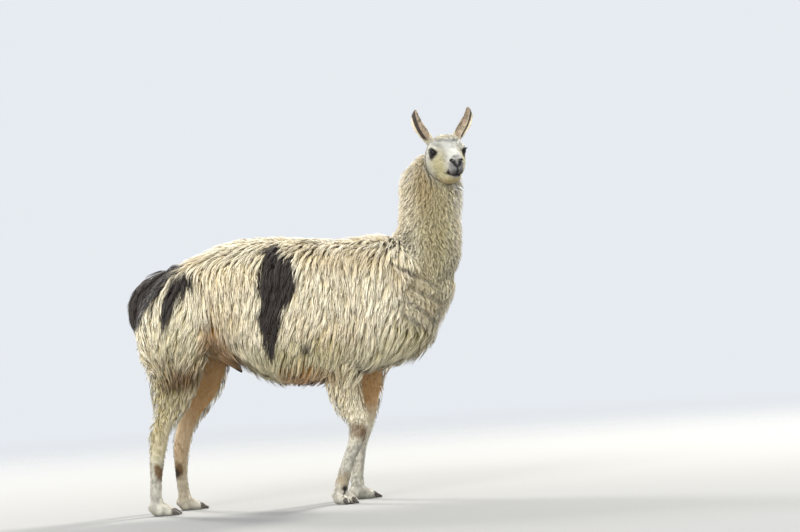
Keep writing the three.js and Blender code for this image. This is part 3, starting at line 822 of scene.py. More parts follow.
def hair_mesh(name, strands, unwrap, material):
    """Three-sided tapered strands, closed at the root and pointed at the tip, as one piece.

    Each keeps the spot that it takes its colour from, the soft outward direction of the coat, how far along and
    across it a point is, and its own and its lock's tone."""
    paths, count = strands["paths"], len(strands["paths"])
    rings = paths.shape[1] - 1
    angles = np.radians((90, 210, 330))
    half = strands["widths"][:, None] * strands["shape"][None, :rings] / 2
    ring = np.empty((count, rings, 3, 3))
    for j, angle in enumerate(angles):
        side = strands["sides"][:, :rings] * (half * math.cos(angle))[..., None]
        up = strands["ups"][:, :rings] * (half * strands["flat"] * math.sin(angle))[..., None]
        ring[:, :, j] = paths[:, :rings] + side + up
    verts = np.concatenate([ring.reshape(count, -1, 3), paths[:, rings:]], axis=1)
    verts[..., 2] = np.maximum(verts[..., 2], 0.0005)
    each = rings * 3 + 1
    faces = [(0, 2, 1)]
    for r in range(rings - 1):
        for j in range(3):
            a, b = r * 3 + j, r * 3 + (j + 1) % 3
            faces += [(a, b, b + 3), (a, b + 3, a + 3)]
    last = (rings - 1) * 3
    faces += [(last + j, last + (j + 1) % 3, each - 1) for j in range(3)]
    faces = np.array(faces)
    index = (np.arange(count)[:, None, None] * each + faces[None]).reshape(-1, 3)

    mesh = bpy.data.meshes.new(name)
    mesh.vertices.add(count * each)
    mesh.vertices.foreach_set("co", verts.astype(np.float32).ravel())
    mesh.loops.add(index.size)
    mesh.loops.foreach_set("vertex_index", index.astype(np.int32).ravel())
    mesh.polygons.add(len(index))
    mesh.polygons.foreach_set("loop_start", np.arange(0, index.size, 3, dtype=np.int32))
    mesh.polygons.foreach_set("loop_total", np.full(len(index), 3, np.int32))
    mesh.polygons.foreach_set("use_smooth", np.ones(len(index), bool))
    mesh.update(calc_edges=True)

    along = np.append(np.repeat(np.linspace(0, 1, rings + 1)[:rings], 3), 1.0)
    hair = np.empty((count, each, 3), np.float32)
    # How far along the strand, lowered by the painted valley shade at the lock's edges.
    hair[..., 0] = along * strands["depth"][:, None]
    hair[..., 1] = strands["tone"][:, :1]
    hair[..., 2] = strands["tone"][:, 1:]
    spot = np.repeat(strands["spots"][:, None], each, axis=1).astype(np.float32)
    soft = np.concatenate([np.repeat(strands["softs"][:, :rings], 3, axis=1), strands["softs"][:, rings:]], axis=1)
    fibre = np.empty((count, each, 3), np.float32)
    fibre[..., 0] = np.append(np.tile(np.cos(angles), rings), 0.0)
    fibre[..., 1] = along
    fibre[..., 2] = 50 * strands["tone"][:, :1]
    for label, values in (("hair", hair), ("spot", spot), ("soft", soft.astype(np.float32)), ("fibre", fibre)):
        mesh.attributes.new(label, "FLOAT_VECTOR", "POINT").data.foreach_set("vector", values.ravel())
    side = np.append(np.tile(np.cos(angles), rings), 0.0)
    patch = np.stack([side * BAKE_PATCH / 2, (along - 0.5) * BAKE_PATCH], axis=1)
    uv = (unwrap(strands["roots"])[:, None] + patch[None]).reshape(-1, 2)[index.ravel()]
    mesh.uv_layers.new(name="OFBake").data.foreach_set("uv", uv.astype(np.float32).ravel())
    mesh.materials.append(material)
    piece = bpy.data.objects.new(name, mesh)
    bpy.context.scene.collection.objects.link(piece)
    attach(piece, "root")
    return piece


BAKE_PATCH = 0.003


def around(points, middle_y, middle, axis):
    """How far round a part's spine each point is, 0 to 1, for a spine in the plane y = middle_y."""
    return np.arctan2(points[:, 1] - middle_y, points[:, axis] - middle) / (2 * math.pi) + 0.5


def squared(u, v):
    """An unwrap fitted into the unit square with a small margin."""
    v = (v - v.min()) / max(v.max() - v.min(), 1e-6)
    return np.stack([0.01 + 0.98 * np.clip(u, 0, 1), 0.01 + 0.98 * v], axis=1)


def unwrap_trunk(points):
    return squared(around(points, 0.0, 0.87, 2), points[:, 0])


def unwrap_neck(points):
    return squared(around(points, 0.0, 0.59, 0), points[:, 2])


def unwrap_tail(points):
    return squared(around(points, 0.0, -0.66, 0), points[:, 2])


def unwrap_head(points):
    local = unplaced(points, HEAD)
    return squared(around(local, 0.0, -0.03, 2), local[:, 0])


def unwrap_ears(points):
    local = unplaced(points, HEAD)
    side = local[:, 1] > 0
    u = np.arctan2(local[:, 0] - EAR_ROOT[0], np.abs(local[:, 1]) - EAR_ROOT[1] - 0.02) / (2 * math.pi) + 0.5
    return squared(0.48 * u + 0.5 * side, local[:, 2])


def unwrap_legs(points):
    """The four legs side by side, each round its own shaft."""
    u = np.zeros(len(points))
    best = np.full(len(points), np.inf)
    for i, (side, _, _, joints) in enumerate(LEGS.values()):
        x, z = np.array(joints).T
        middle = np.interp(points[:, 2], z[::-1], x[::-1])
        gap = np.hypot(points[:, 0] - middle, points[:, 1] - side)
        turn = np.arctan2(points[:, 1] - side, points[:, 0] - middle) / (2 * math.pi) + 0.5
        u = np.where(gap < best, (i + 0.02 + 0.96 * turn) / len(LEGS), u)
        best = np.minimum(gap, best)
    return squared(u, points[:, 2])


# ---------- how the coat lies and where ----------


def part_in(hide, *names):
    return np.isin(hide.part, names)


def across_ridge(points):
    """-1 to the right of the back's ridge, 1 to the left, and a soft change over it."""
    return np.clip(points[:, 1] / 0.07, -1, 1)


def trunk_lie(p, n):
    """Out and down over the back, straight down the flanks, backwards over the croup, forwards at the shoulder."""
    croup = smooth_step(1.0, 1.12, p[:, 2]) * smooth_step(-0.05, -0.4, p[:, 0])
    shoulder = smooth_step(0.30, 0.5, p[:, 0]) * smooth_step(0.72, 0.85, p[:, 2])
    ridge = smooth_step(0.3, 1.0, n[:, 2])
    ahead = -0.16 - 0.9 * croup + 0.6 * shoulder - 0.8 * ridge + 0.2 * drift(p, 5.0, 0.4)
    return np.stack([ahead, 0.8 * across_ridge(p) * (1 - 0.5 * croup), np.full(len(p), -1.15)], axis=1)


# Creases between the folds where the neck meets the breast: middle (x, z), half length, slope in degrees.
CREASES = [
    (0.452, 1.000, 0.052, 28),
    (0.508, 0.962, 0.055, 30),
    (0.561, 0.928, 0.045, 30),
    (0.520, 0.895, 0.060, 33),
    (0.568, 0.866, 0.040, 33),
    (0.502, 0.830, 0.055, 38),
    (0.479, 0.772, 0.050, 42),
    (0.545, 0.790, 0.040, 42),
]


def fold_zone(p):
    """1 where the skin is folded between neck and breast."""
    return smooth_step(1.0, 0.6, np.hypot((p[:, 0] - 0.515) / 0.13, (p[:, 2] - 0.885) / 0.19))


def creases(p):
    """1 down in the slanting creases between those folds, 0 on the folds."""
    deep = np.zeros(len(p))
    for x, z, half, slope in CREASES:
        c, s = math.cos(math.radians(slope)), math.sin(math.radians(slope))
        along = (p[:, 0] - x) * c - (p[:, 2] - z) * s
        across = (p[:, 0] - x) * s + (p[:, 2] - z) * c
        deep = np.maximum(deep, smooth_step(1.1, 0.6, np.abs(along) / half) * np.exp(-(across / 0.010) ** 2))
    return deep


def fold_grooves(p):
    """How far the wool is drawn in down in the creases."""
    return 0.024 * creases(p)


def neck_lie(p, n):
    return np.stack([-0.1 + 0.15 * drift(p, 12.0, 2.0), 0.1 * drift(p, 11.0, 0.5), np.full(len(p), -1.0)], axis=1)


def tail_lie(p, n):
    drop = smooth_step(1.03, 0.9, p[:, 2])
    return np.stack([-0.75 + 0.6 * drop, 0.7 * p[:, 1] / 0.05 * 0.3, -0.75 - 0.3 * drop], axis=1)


def leg_lie(p, n):
    return np.stack([-0.25 + 0.2 * drift(p, 14.0, 0.9), 0.15 * drift(p, 13.0, 2.2), np.full(len(p), -1.0)], axis=1)


def foot_lie(p, n):
    return np.stack([np.full(len(p), 0.35), np.zeros(len(p)), np.full(len(p), -0.7)], axis=1)


HEAD_AXES = np.array(HEAD.to_3x3())


def face_lie(p, n):
    """Back from the nose, up over the brow and down over the cheeks."""
    local = unplaced(p, HEAD)
    rise = 0.35 * smooth_step(-0.02, 0.05, local[:, 2]) - 0.35
    return np.stack([np.full(len(p), -1.0), 0.15 * np.sign(local[:, 1]), rise], axis=1) @ HEAD_AXES.T


def face_length(p, n):
    local = unplaced(p, HEAD)
    return 0.012 - 0.006 * smooth_step(0.05, 0.14, local[:, 0])


def crown_lie(p, n):
    """The topknot between the ears curls forwards."""
    local = unplaced(p, HEAD)
    return np.stack([np.full(len(p), 0.8), 0.4 * drift(local, 60.0, 0.3), 0.3 * drift(local, 50, 1)], axis=1) @ HEAD_AXES.T


def ear_lie(p, n):
    local = unplaced(p, HEAD)
    side = np.sign(local[:, 1])
    return np.stack([np.zeros(len(p)), side * EAR_LEAN, np.full(len(p), EAR_RISE)], axis=1) @ HEAD_AXES.T


def even(value):
    return lambda p, n: np.full(len(p), value)


def trunk_length(p, n):
    """Longest on the flanks and haunches, shorter along the ridge and under the belly."""
    ridge = smooth_step(0.75, 1.0, n[:, 2])
    belly = smooth_step(-0.55, -0.9, n[:, 2])
    rump = smooth_step(-0.60, -0.68, p[:, 0])
    breast = smooth_step(0.54, 0.64, p[:, 0])
    full = 0.125 - 0.030 * ridge - 0.050 * belly - 0.02 * rump - 0.055 * breast
    return full * (1 - 0.68 * fold_zone(p)) * (1 - 0.75 * groin(p))


def groin(p):
    """1 on the thin-haired skin between thigh and flank."""
    slant = p[:, 0] + 0.395 + 0.55 * (p[:, 2] - 0.70)
    return smooth_step(1.0, 0.5, np.hypot(slant / 0.066, (p[:, 2] - 0.695) / 0.105))


def trunk_depth(p, n):
    """Deeper on the withers, thinner under the belly and next to nothing in the groin."""
    belly = smooth_step(-0.5, -0.9, n[:, 2])
    breast = smooth_step(0.54, 0.64, p[:, 0])
    return (0.040 - 0.012 * belly - 0.014 * breast + withers(p, n)) * (1 - 0.8 * groin(p))


def withers(p, n):
    """How much deeper the coat is on the withers, most just before the neck."""
    before_neck = smooth_step(0.34, 0.43, p[:, 0]) * smooth_step(0.4, 0.9, n[:, 2])
    return 0.003 * smooth_step(0.1, 0.95, n[:, 2]) * smooth_step(-0.12, 0.30, p[:, 0]) + 0.013 * before_neck


def neck_depth(p, n):
    """Fluffier on the nape and the throat, and as deep as the fleece where it meets the trunk."""
    nape = smooth_step(0.2, 0.8, -n[:, 0]) * smooth_step(1.50, 1.40, p[:, 2])
    throat = smooth_step(0.2, 0.8, n[:, 0])
    dip = smooth_step(1.09, 1.12, p[:, 2]) * smooth_step(1.22, 1.14, p[:, 2])
    full = 0.024 + 0.014 * smooth_step(1.22, 1.08, p[:, 2]) * (1 - throat) + (0.015 + 0.016 * dip) * nape
    swell = 0.013 * smooth_step(1.22, 1.36, p[:, 2]) - 0.018 * smooth_step(1.08, 0.97, p[:, 2])
    return full + throat * (0.009 + swell)


def inner_side(p, n):
    """1 on the sides of the legs that face each other, 0 on their outer sides."""
    return smooth_step(0.1, 0.6, -n[:, 1] * np.sign(p[:, 1]))


def leg_length(p, n):
    behind = smooth_step(0.2, 0.9, -n[:, 0])
    full = 0.016 + 0.042 * smooth_step(0.30, 0.52, p[:, 2]) + 0.012 * behind * smooth_step(0.28, 0.36, p[:, 2])
    return full * (1 - 0.6 * inner_side(p, n))


def leg_clear(p, n):
    behind = smooth_step(0.3, 0.95, -n[:, 0])
    full = 0.005 + 0.011 * smooth_step(0.30, 0.5, p[:, 2]) + 0.007 * behind * smooth_step(0.28, 0.36, p[:, 2])
    return full * (1 - 0.6 * inner_side(p, n))


def on_sheath(p):
    """True on the bare skin that hangs between the thighs."""
    start, end = np.array(SHEATH[1][:2]), np.array(SHEATH[-1][:2])
    along = (p[:, [0, 2]] - start) @ (end - start) / ((end - start) @ (end - start))
    gap = np.linalg.norm(p[:, [0, 2]] - start - np.clip(along, 0, 1)[:, None] * (end - start), axis=1)
    return (along > 0) & (gap < 0.035) & (np.abs(p[:, 1]) < 0.05)


def down_length(p, n):
    return 0.055 * (1 - 0.5 * fold_zone(p)) * (1 - 0.7 * groin(p))


def down_depth(p, n):
    return (0.024 + 1.5 * withers(p, n)) * (1 - 0.7 * groin(p))


def make_fleece(hide, wool, sizes):
    """The long locks of trunk and haunches, in pieces of like size."""
    coat = Coat(trunk_lie, trunk_length, trunk_depth, sizes.lock_spacing, sizes.strands, sizes.strand_width,
                wave=0.0045, wavelength=0.05, clump=0.38, sag=0.5, flare=0.06, rings=4, swing=0.22, bulge=0.009,
                groove=fold_grooves)
    down = Coat(trunk_lie, down_length, down_depth, 0.03, 10, 0.0075, clump=0.1, sag=0.4, flare=0.1, rings=2,
                groove=fold_grooves)
    torso = part_in(hide, "torso") & ~on_sheath(hide.centre)
    strands = grow(hide, coat, torso, 101)
    x, y, z = strands["roots"].T
    upper = z > 0.87 + 0.72 * np.abs(y)
    under = z < 0.87 - 1.15 * np.abs(y)
    rear, front = x < -0.36, x > 0.30
    right, middle = y < 0, ~(rear | front)
    zones = {
        "fleece_back": middle & upper,
        "fleece_belly": middle & under & ~upper,
        "fleece_flank_right": middle & ~upper & ~under & right,
        "fleece_flank_left": middle & ~upper & ~under & ~right,
        "fleece_haunch_right": rear & right,
        "fleece_haunch_left": rear & ~right,
        "fleece_shoulder_right": front & right,
        "fleece_shoulder_left": front & ~right,
    }
    pieces = [hair_mesh(name, chosen(strands, zone), unwrap_trunk, wool) for name, zone in zones.items()]
    return [*pieces, hair_mesh("fleece_down", grow(hide, down, torso, 102), unwrap_trunk, wool)]


def make_neck_wool(hide, wool, sizes):
    """Fine, dense wool with short waves, in a right and a left half."""
    coat = Coat(neck_lie, even(0.036), neck_depth, sizes.neck_spacing, 5, sizes.neck_width, wave=0.0016,
                wavelength=0.018, clump=0.16, sag=0.2, flare=0.20, rings=3, swing=0.5, bulge=0.001, uneven=0.10,
                valley_shade=0.15, groove=fold_grooves)
    strands = grow(hide, coat, part_in(hide, "neck"), 202)
    right = strands["roots"][:, 1] < 0
    return [
        hair_mesh("neck_wool_right", chosen(strands, right), unwrap_neck, wool),
        hair_mesh("neck_wool_left", chosen(strands, ~right), unwrap_neck, wool),
    ]


def make_tail_wool(hide, wool, sizes):
    coat = Coat(tail_lie, even(0.11), even(0.025), 0.016, 14, 0.0050, wave=0.003, wavelength=0.06,
                clump=0.4, sag=0.3, flare=0.10, rings=4, bulge=0.004)
    strands = grow(hide, coat, part_in(hide, "tail"), 303)
    return hair_mesh("tail_wool", strands, unwrap_tail, wool)


def make_leg_coat(hide, wool, fur, sizes):
    """Curly wool down to the knees and hocks, and short fur below."""
    legs = part_in(hide, *[f"{part}_{leg}" for leg in LEGS for part in ("upper_leg", "lower_leg")])
    feet = part_in(hide, *[f"foot_{leg}" for leg in LEGS])
    outward = unit(hide.normals[hide.tris].sum(axis=1))
    end = np.where(hide.centre[:, 0] < -0.2, 0.235, 0.295)
    woolly = legs & (hide.centre[:, 2] > end + 0.02 * drift(hide.centre, 40.0, 0.3))
    woolly &= inner_side(hide.centre, outward) < 0.5
    curls = Coat(leg_lie, leg_length, leg_clear, 0.017, 9, 0.0048, wave=0.003, wavelength=0.03,
                 clump=0.5, sag=0.3, flare=0.12, rings=3, swing=0.3, bulge=0.003)
    short = Coat(leg_lie, even(0.015), even(0.0030), 0.012, 9, 0.0024, clump=0.15, sag=0, flare=0.05, rings=2)
    toes = Coat(foot_lie, even(0.012), even(0.0025), 0.011, 9, 0.0021, clump=0.15, sag=0, flare=0.05, rings=2)
    above_sole = feet & (hide.centre[:, 2] > 0.008)
    return [
        hair_mesh("leg_wool", grow(hide, curls, woolly, 404), unwrap_legs, wool),
        hair_mesh("leg_fur", grow(hide, short, legs & ~woolly, 405), unwrap_legs, fur),
        hair_mesh("foot_fur", grow(hide, toes, above_sole, 406), unwrap_legs, fur),
    ]


def make_head_fur(hide, wool, fur, sizes):
    """Short fur over the face, finest on the muzzle, a woolly topknot, and soft fur on the ears."""
    local = unplaced(hide.centre, HEAD)
    head = part_in(hide, "head")
    crown = head & (local[:, 2] > 0.047) & (local[:, 0] < -0.002) & (np.abs(local[:, 1]) < 0.068)
    bare = np.hypot(np.abs(local[:, 1]) - 0.020, local[:, 2] + 0.020) < 0.013
    nose = (local[:, 0] > 0.135) & (bare | (np.abs(local[:, 1]) < 0.006) & (local[:, 2] < -0.02))
    eyes = np.hypot(local[:, 0] - EYE_SET[0], (local[:, 2] - EYE_SET[2]) * 1.25) < 0.028
    eyes &= np.abs(local[:, 1]) > 0.05
    face = head & ~nose & ~eyes & (local[:, 0] > -0.075)
    ears = part_in(hide, "ear_right", "ear_left")
    short = Coat(face_lie, face_length, even(0.0022), 0.009, 15, 0.0016, clump=0.1, sag=0, flare=0.05, rings=2,
                 valley_shade=0.1)
    knot = Coat(crown_lie, even(0.022), even(0.004), 0.010, 12, 0.0024, wave=0.0035, wavelength=0.020,
                clump=0.45, sag=0, flare=0.14, rings=4, swing=0.5, valley_shade=0.3)
    ruff = Coat(neck_lie, even(0.026), even(0.007), 0.009, 7, 0.0024, wave=0.0015, wavelength=0.018, clump=0.3,
                sag=0.2, flare=0.08, rings=3, swing=0.4, valley_shade=0.2)
    behind_jaw = head & (local[:, 0] < -0.070) & (local[:, 2] < 0.040)
    down = Coat(ear_lie, even(0.010), even(0.0016), 0.009, 14, 0.0014, clump=0.1, sag=0, flare=0.08, rings=2,
                valley_shade=0.1)
    return [
        hair_mesh("face_fur", grow(hide, short, face, 505), unwrap_head, fur),
        hair_mesh("topknot", grow(hide, knot, crown, 506), unwrap_head, wool),
        hair_mesh("ruff", grow(hide, ruff, behind_jaw, 508), unwrap_head, wool),
        hair_mesh("ear_fur", grow(hide, down, ears, 507), unwrap_ears, fur),
    ]


# ---------- colours and finishes ----------

# Patches of colour on the body: colour, side (right, left, inner left or both), middle (x, z), radii, tilt in degrees from
# upright (positive leans the top forwards), softness of the edge, strength.
BODY_PATCHES = [
    ("tan", "right", (0.230, 1.060), (0.150, 0.050), 0, 0.5, 0.5),  # withers
    ("tan", "right", (-0.330, 1.020), (0.190, 0.060), 0, 0.5, 0.35),
    # Under the chest and the belly: partly yellowed and reddish wool, partly painted shade on the underside.
    ("straw", "both", (0.440, 0.640), (0.200, 0.100), 0, 0.5, 0.5),  # under the chest
    ("straw", "both", (-0.060, 0.620), (0.260, 0.110), 0, 0.6, 0.7),  # belly
    ("rust", "both", (-0.010, 0.565), (0.120, 0.055), 0, 0.7, 0.75),
    ("straw", "right", (-0.580, 0.700), (0.110, 0.160), 0, 0.6, 0.5),  # haunch
    ("brown", "right", (-0.580, 0.600), (0.105, 0.120), 0, 0.6, 0.5),  # thigh
    ("straw", "right", (-0.600, 0.500), (0.080, 0.110), 0, 0.7, 0.5),
    ("brown", "right", (-0.620, 0.480), (0.060, 0.070), 0, 0.9, 0.2),
    ("straw", "right", (-0.665, 0.330), (0.060, 0.110), 0, 0.6, 0.6),  # shank
    ("brown", "right", (-0.660, 0.320), (0.050, 0.090), 0, 0.9, 0.22),
    ("brown", "right", (-0.545, 0.592), (0.090, 0.055), -12, 0.5, 0.85),
    # Painted shade in the crease between the thigh and the flank.
    ("brown", "both", (-0.404, 0.830), (0.011, 0.120), 5, 0.9, 0.45),  # crease before the thigh
    ("apricot", "both", (-0.375, 0.700), (0.050, 0.110), -30, 0.5, 0.9),  # groin
    # Partly the thin-haired skin's own colour, partly painted shade warmed by light through the skin.
    ("apricot", "inner left", (-0.420, 0.560), (0.170, 0.210), 20, 0.4, 1.0),  # inner sides of the legs
    ("apricot", "inner left", (0.290, 0.550), (0.110, 0.170), 0, 0.4, 1.0),
    ("apricot", "inner left", (-0.570, 0.330), (0.055, 0.150), 12, 0.5, 0.6),
    ("tan", "left", (-0.600, 0.140), (0.050, 0.130), 0, 0.5, 0.35),
    # Painted shade at the lower end of the crease before the thigh, by the groin.
    ("brown", "both", (-0.400, 0.730), (0.030, 0.090), -20, 0.8, 0.5),
    ("brown", "both", (-0.310, 0.620), (0.040, 0.060), -35, 0.8, 0.85),  # sheath
    ("dark", "both", (-0.294, 0.600), (0.014, 0.020), -35, 0.6, 0.9),
    # Painted shade under the back of the jaw.
    ("brown", "right", (0.562, 1.430), (0.028, 0.100), 18, 0.7, 0.45),  # neck behind the jaw
    ("straw", "right", (0.600, 1.200), (0.075, 0.290), 2, 0.8, 0.75),
    ("tan", "right", (0.555, 1.330), (0.035, 0.110), 6, 0.8, 0.5),
    ("brown", "right", (0.590, 1.230), (0.055, 0.280), 2, 0.9, 0.22),
    ("brown", "right", (0.212, 0.310), (0.042, 0.038), 0, 0.6, 0.8),  # knee
    ("brown", "right", (0.232, 0.300), (0.014, 0.040), 10, 0.6, 0.5),
    ("tan", "right", (0.128, 0.106), (0.040, 0.024), 0, 0.7, 0.5),  # fetlock
    ("slate", "right", (0.128, 0.110), (0.040, 0.024), 0, 0.9, 0.25),
    # Painted shade in the cleft between the toes.
    ("black", "right", (0.129, 0.072), (0.011, 0.017), 14, 0.5, 0.95),  # between the toes
    ("black", "right", (0.127, 0.050), (0.006, 0.026), 14, 0.5, 0.85),
    ("brown", "right", (-0.668, 0.190), (0.014, 0.042), 4, 0.4, 0.9),  # hind cannons
    ("brown", "left", (-0.611, 0.174), (0.022, 0.036), 0, 0.4, 0.9),
    ("dark", "left", (-0.623, 0.160), (0.014, 0.020), 0, 0.5, 0.9),
    # Painted shadow low on the belly's side, in front of the saddle.
    ("dark", "right", (0.008, 0.705), (0.022, 0.042), 0, 0.6, 0.75),
    ("dark", "right", (-0.100, 0.990), (0.088, 0.125), 6, 0.10, 1.0),  # saddle
    ("dark", "right", (-0.112, 1.085), (0.048, 0.062), 8, 0.14, 1.0),
    ("dark", "right", (-0.136, 0.840), (0.050, 0.120), 4, 0.12, 1.0),
    ("dark", "right", (-0.146, 0.740), (0.026, 0.070), 6, 0.18, 1.0),
    ("dark", "right", (-0.510, 1.018), (0.052, 0.036), 0, 0.2, 1.0),  # hip
    ("dark", "right", (-0.562, 0.940), (0.036, 0.125), 28, 0.2, 1.0),
    ("dark", "left", (-0.190, 0.960), (0.120, 0.105), 12, 0.10, 1.0),
    ("dark", "left", (-0.230, 0.850), (0.070, 0.090), -10, 0.14, 1.0),
]
# The dark tail and the wool round its dock, in three dimensions: colour, middle, radii, tilt.
TAIL_PATCHES = [
    ("dark", (-0.612, -0.03, 1.045), (0.050, 0.13, 0.120), 60),
    ("dark", (-0.668, -0.04, 0.958), (0.100, 0.16, 0.128), 24),
    ("dark", (-0.722, -0.03, 0.866), (0.076, 0.15, 0.050), 0),
    # Reddish wool on the tail's top edge, partly a painted rim highlight.
    ("rust", (-0.662, 0.0, 1.080), (0.016, 0.10, 0.090), 58),
]
# Patches on the head, in its own directions: colour, middle (forward, sideways, up), radii, tilt about the
# forward direction, softness, strength. Those with a sideways place are on both sides.
HEAD_PATCHES = [
    ("grey", (0.020, 0.0, -0.030), (0.180, 0.110, 0.125), 0, 0.25, 1.0),
    # The cheeks: partly yellowed fur, partly painted shade on the sides of the face.
    ("straw", (0.045, 0.055, -0.050), (0.060, 0.045, 0.062), 0, 0.7, 0.75),  # cheeks
    ("straw", (0.060, 0.0, -0.118), (0.090, 0.060, 0.040), 0, 0.9, 0.75),  # chin
    ("tan", (0.060, 0.0, -0.128), (0.090, 0.060, 0.024), 0, 0.9, 0.5),
    # Painted shade in the fold of the brow.
    ("slate", (0.012, 0.050, 0.034), (0.040, 0.026, 0.007), 12, 0.8, 0.45),  # brows
    ("slate", (0.060, 0.034, -0.010), (0.050, 0.008, 0.030), 0, 0.8, 0.30),  # beside the bridge
    # The bridge: partly paler fur, partly painted light on the top of the nose.
    ("white", (0.075, 0.0, 0.026), (0.085, 0.024, 0.045), 0, 0.6, 0.6),  # bridge of the nose
    ("cream", (-0.050, 0.0, 0.076), (0.060, 0.080, 0.030), 0, 0.4, 0.9),  # crown
    # Painted shadow of the topknot, as a grey band under the crown.
    ("slate", (0.015, 0.0, 0.050), (0.060, 0.040, 0.005), 6, 0.8, 0.5),
    ("slate", (0.160, 0.0, -0.056), (0.036, 0.048, 0.044), 0, 0.5, 0.75),  # muzzle
    ("slate", (0.160, 0.0, -0.034), (0.030, 0.034, 0.022), 0, 0.5, 0.85),
    ("slate", (0.160, 0.0, -0.060), (0.034, 0.024, 0.034), 0, 0.8, 0.7),
    ("slate", (0.150, 0.0, -0.074), (0.042, 0.060, 0.014), 0, 0.6, 0.9),
    ("black", (0.156, 0.0215, -0.0195), (0.020, 0.0165, 0.0090), 28, 0.35, 1.0),  # nostrils
    ("black", (0.160, 0.011, -0.035), (0.022, 0.0065, 0.018), -38, 0.5, 0.95),  # folds down to the lip
    ("black", (0.162, 0.0, -0.058), (0.024, 0.0055, 0.020), 0, 0.6, 0.9),
    ("black", (0.120, 0.0, -0.083), (0.050, 0.080, 0.0065), 0, 0.5, 0.95),  # line of the mouth
    # Painted shadow in the corners of the mouth.
    ("black", (0.124, 0.040, -0.070), (0.014, 0.022, 0.014), 0, 0.4, 1.0),
    ("black", (0.110, 0.028, -0.079), (0.022, 0.020, 0.011), 0, 0.35, 1.0),
    ("black", (0.165, 0.0, -0.074), (0.030, 0.030, 0.015), 0, 0.8, 0.6),
    # Dark lids, with painted shadow of the lashes.
    ("black", (0.000, 0.075, 0.003), (0.034, 0.036, 0.020), 0, 0.22, 1.0),  # round the eyes
    ("black", (-0.002, 0.075, -0.009), (0.021, 0.036, 0.023), 0, 0.4, 1.0),
]


def plugged(tree, socket, value):
    """Sets a socket's value, or links another node's output to it."""
    if isinstance(value, bpy.types.NodeSocket):
        tree.links.new(value, socket)
    else:
        socket.default_value = value


def add(tree, kind, settings=None, **inputs):
    """A shader node with its settings and inputs given by name, or by number as in_0."""
    node = tree.nodes.new(kind)
    for key, value in (settings or {}).items():
        setattr(node, key, value)
    for key, value in inputs.items():
        label = int(key[3:]) if key.startswith("in_") else key.replace("_", " ")
        plugged(tree, node.inputs[label], value)
    return node


def calc(tree, operation, a, b=0.0, c=0.0):
    return add(tree, "ShaderNodeMath", {"operation": operation}, in_0=a, in_1=b, in_2=c).outputs[0]


def ramped(tree, value, low, high, start=0.0, end=1.0):
    """A smooth change from start to end as the value goes from low to high."""
    settings = {"interpolation_type": "SMOOTHSTEP"}
    node = add(tree, "ShaderNodeMapRange", settings, in_0=value, in_1=low, in_2=high, in_3=start, in_4=end)
    return node.outputs[0]


def mixed(tree, share, a, b):
    node = add(tree, "ShaderNodeMix", {"data_type": "RGBA"}, in_0=share, in_6=a, in_7=b)
    return node.outputs[2]


def noise(tree, vector, scale, detail=3.0, output="Fac"):
    node = add(tree, "ShaderNodeTexNoise", None, Vector=vector, Scale=scale, Detail=detail)
    return node.outputs[output]


def new_group(name, inputs, outputs):
    """An empty shader group with its sockets, its inputs node and its outputs node."""
    group = bpy.data.node_groups.new(name, "ShaderNodeTree")
    for label, kind in inputs:
        group.interface.new_socket(name=label, in_out="INPUT", socket_type=kind)
    for label, kind in outputs:
        group.interface.new_socket(name=label, in_out="OUTPUT", socket_type=kind)
    return group, group.nodes.new("NodeGroupInput"), group.nodes.new("NodeGroupOutput")


def blob(tree, place, middle, radii, turn, softness, strength):
    """A soft-edged ellipsoid: its strength inside and 0 outside."""
    mapping = add(tree, "ShaderNodeMapping", {"vector_type": "TEXTURE"}, Vector=place, Location=middle,
                  Rotation=turn, Scale=radii)
    length = add(tree, "ShaderNodeVectorMath", {"operation": "LENGTH"}, in_0=mapping.outputs[0]).outputs["Value"]
    return ramped(tree, length, 1 - softness, 1 + softness, strength, 0.0)


COLOUR_NAMES = ("cream", "white", "straw", "tan", "apricot", "rust", "brown", "dark", "grey", "slate", "black", "pink",
                "moss")


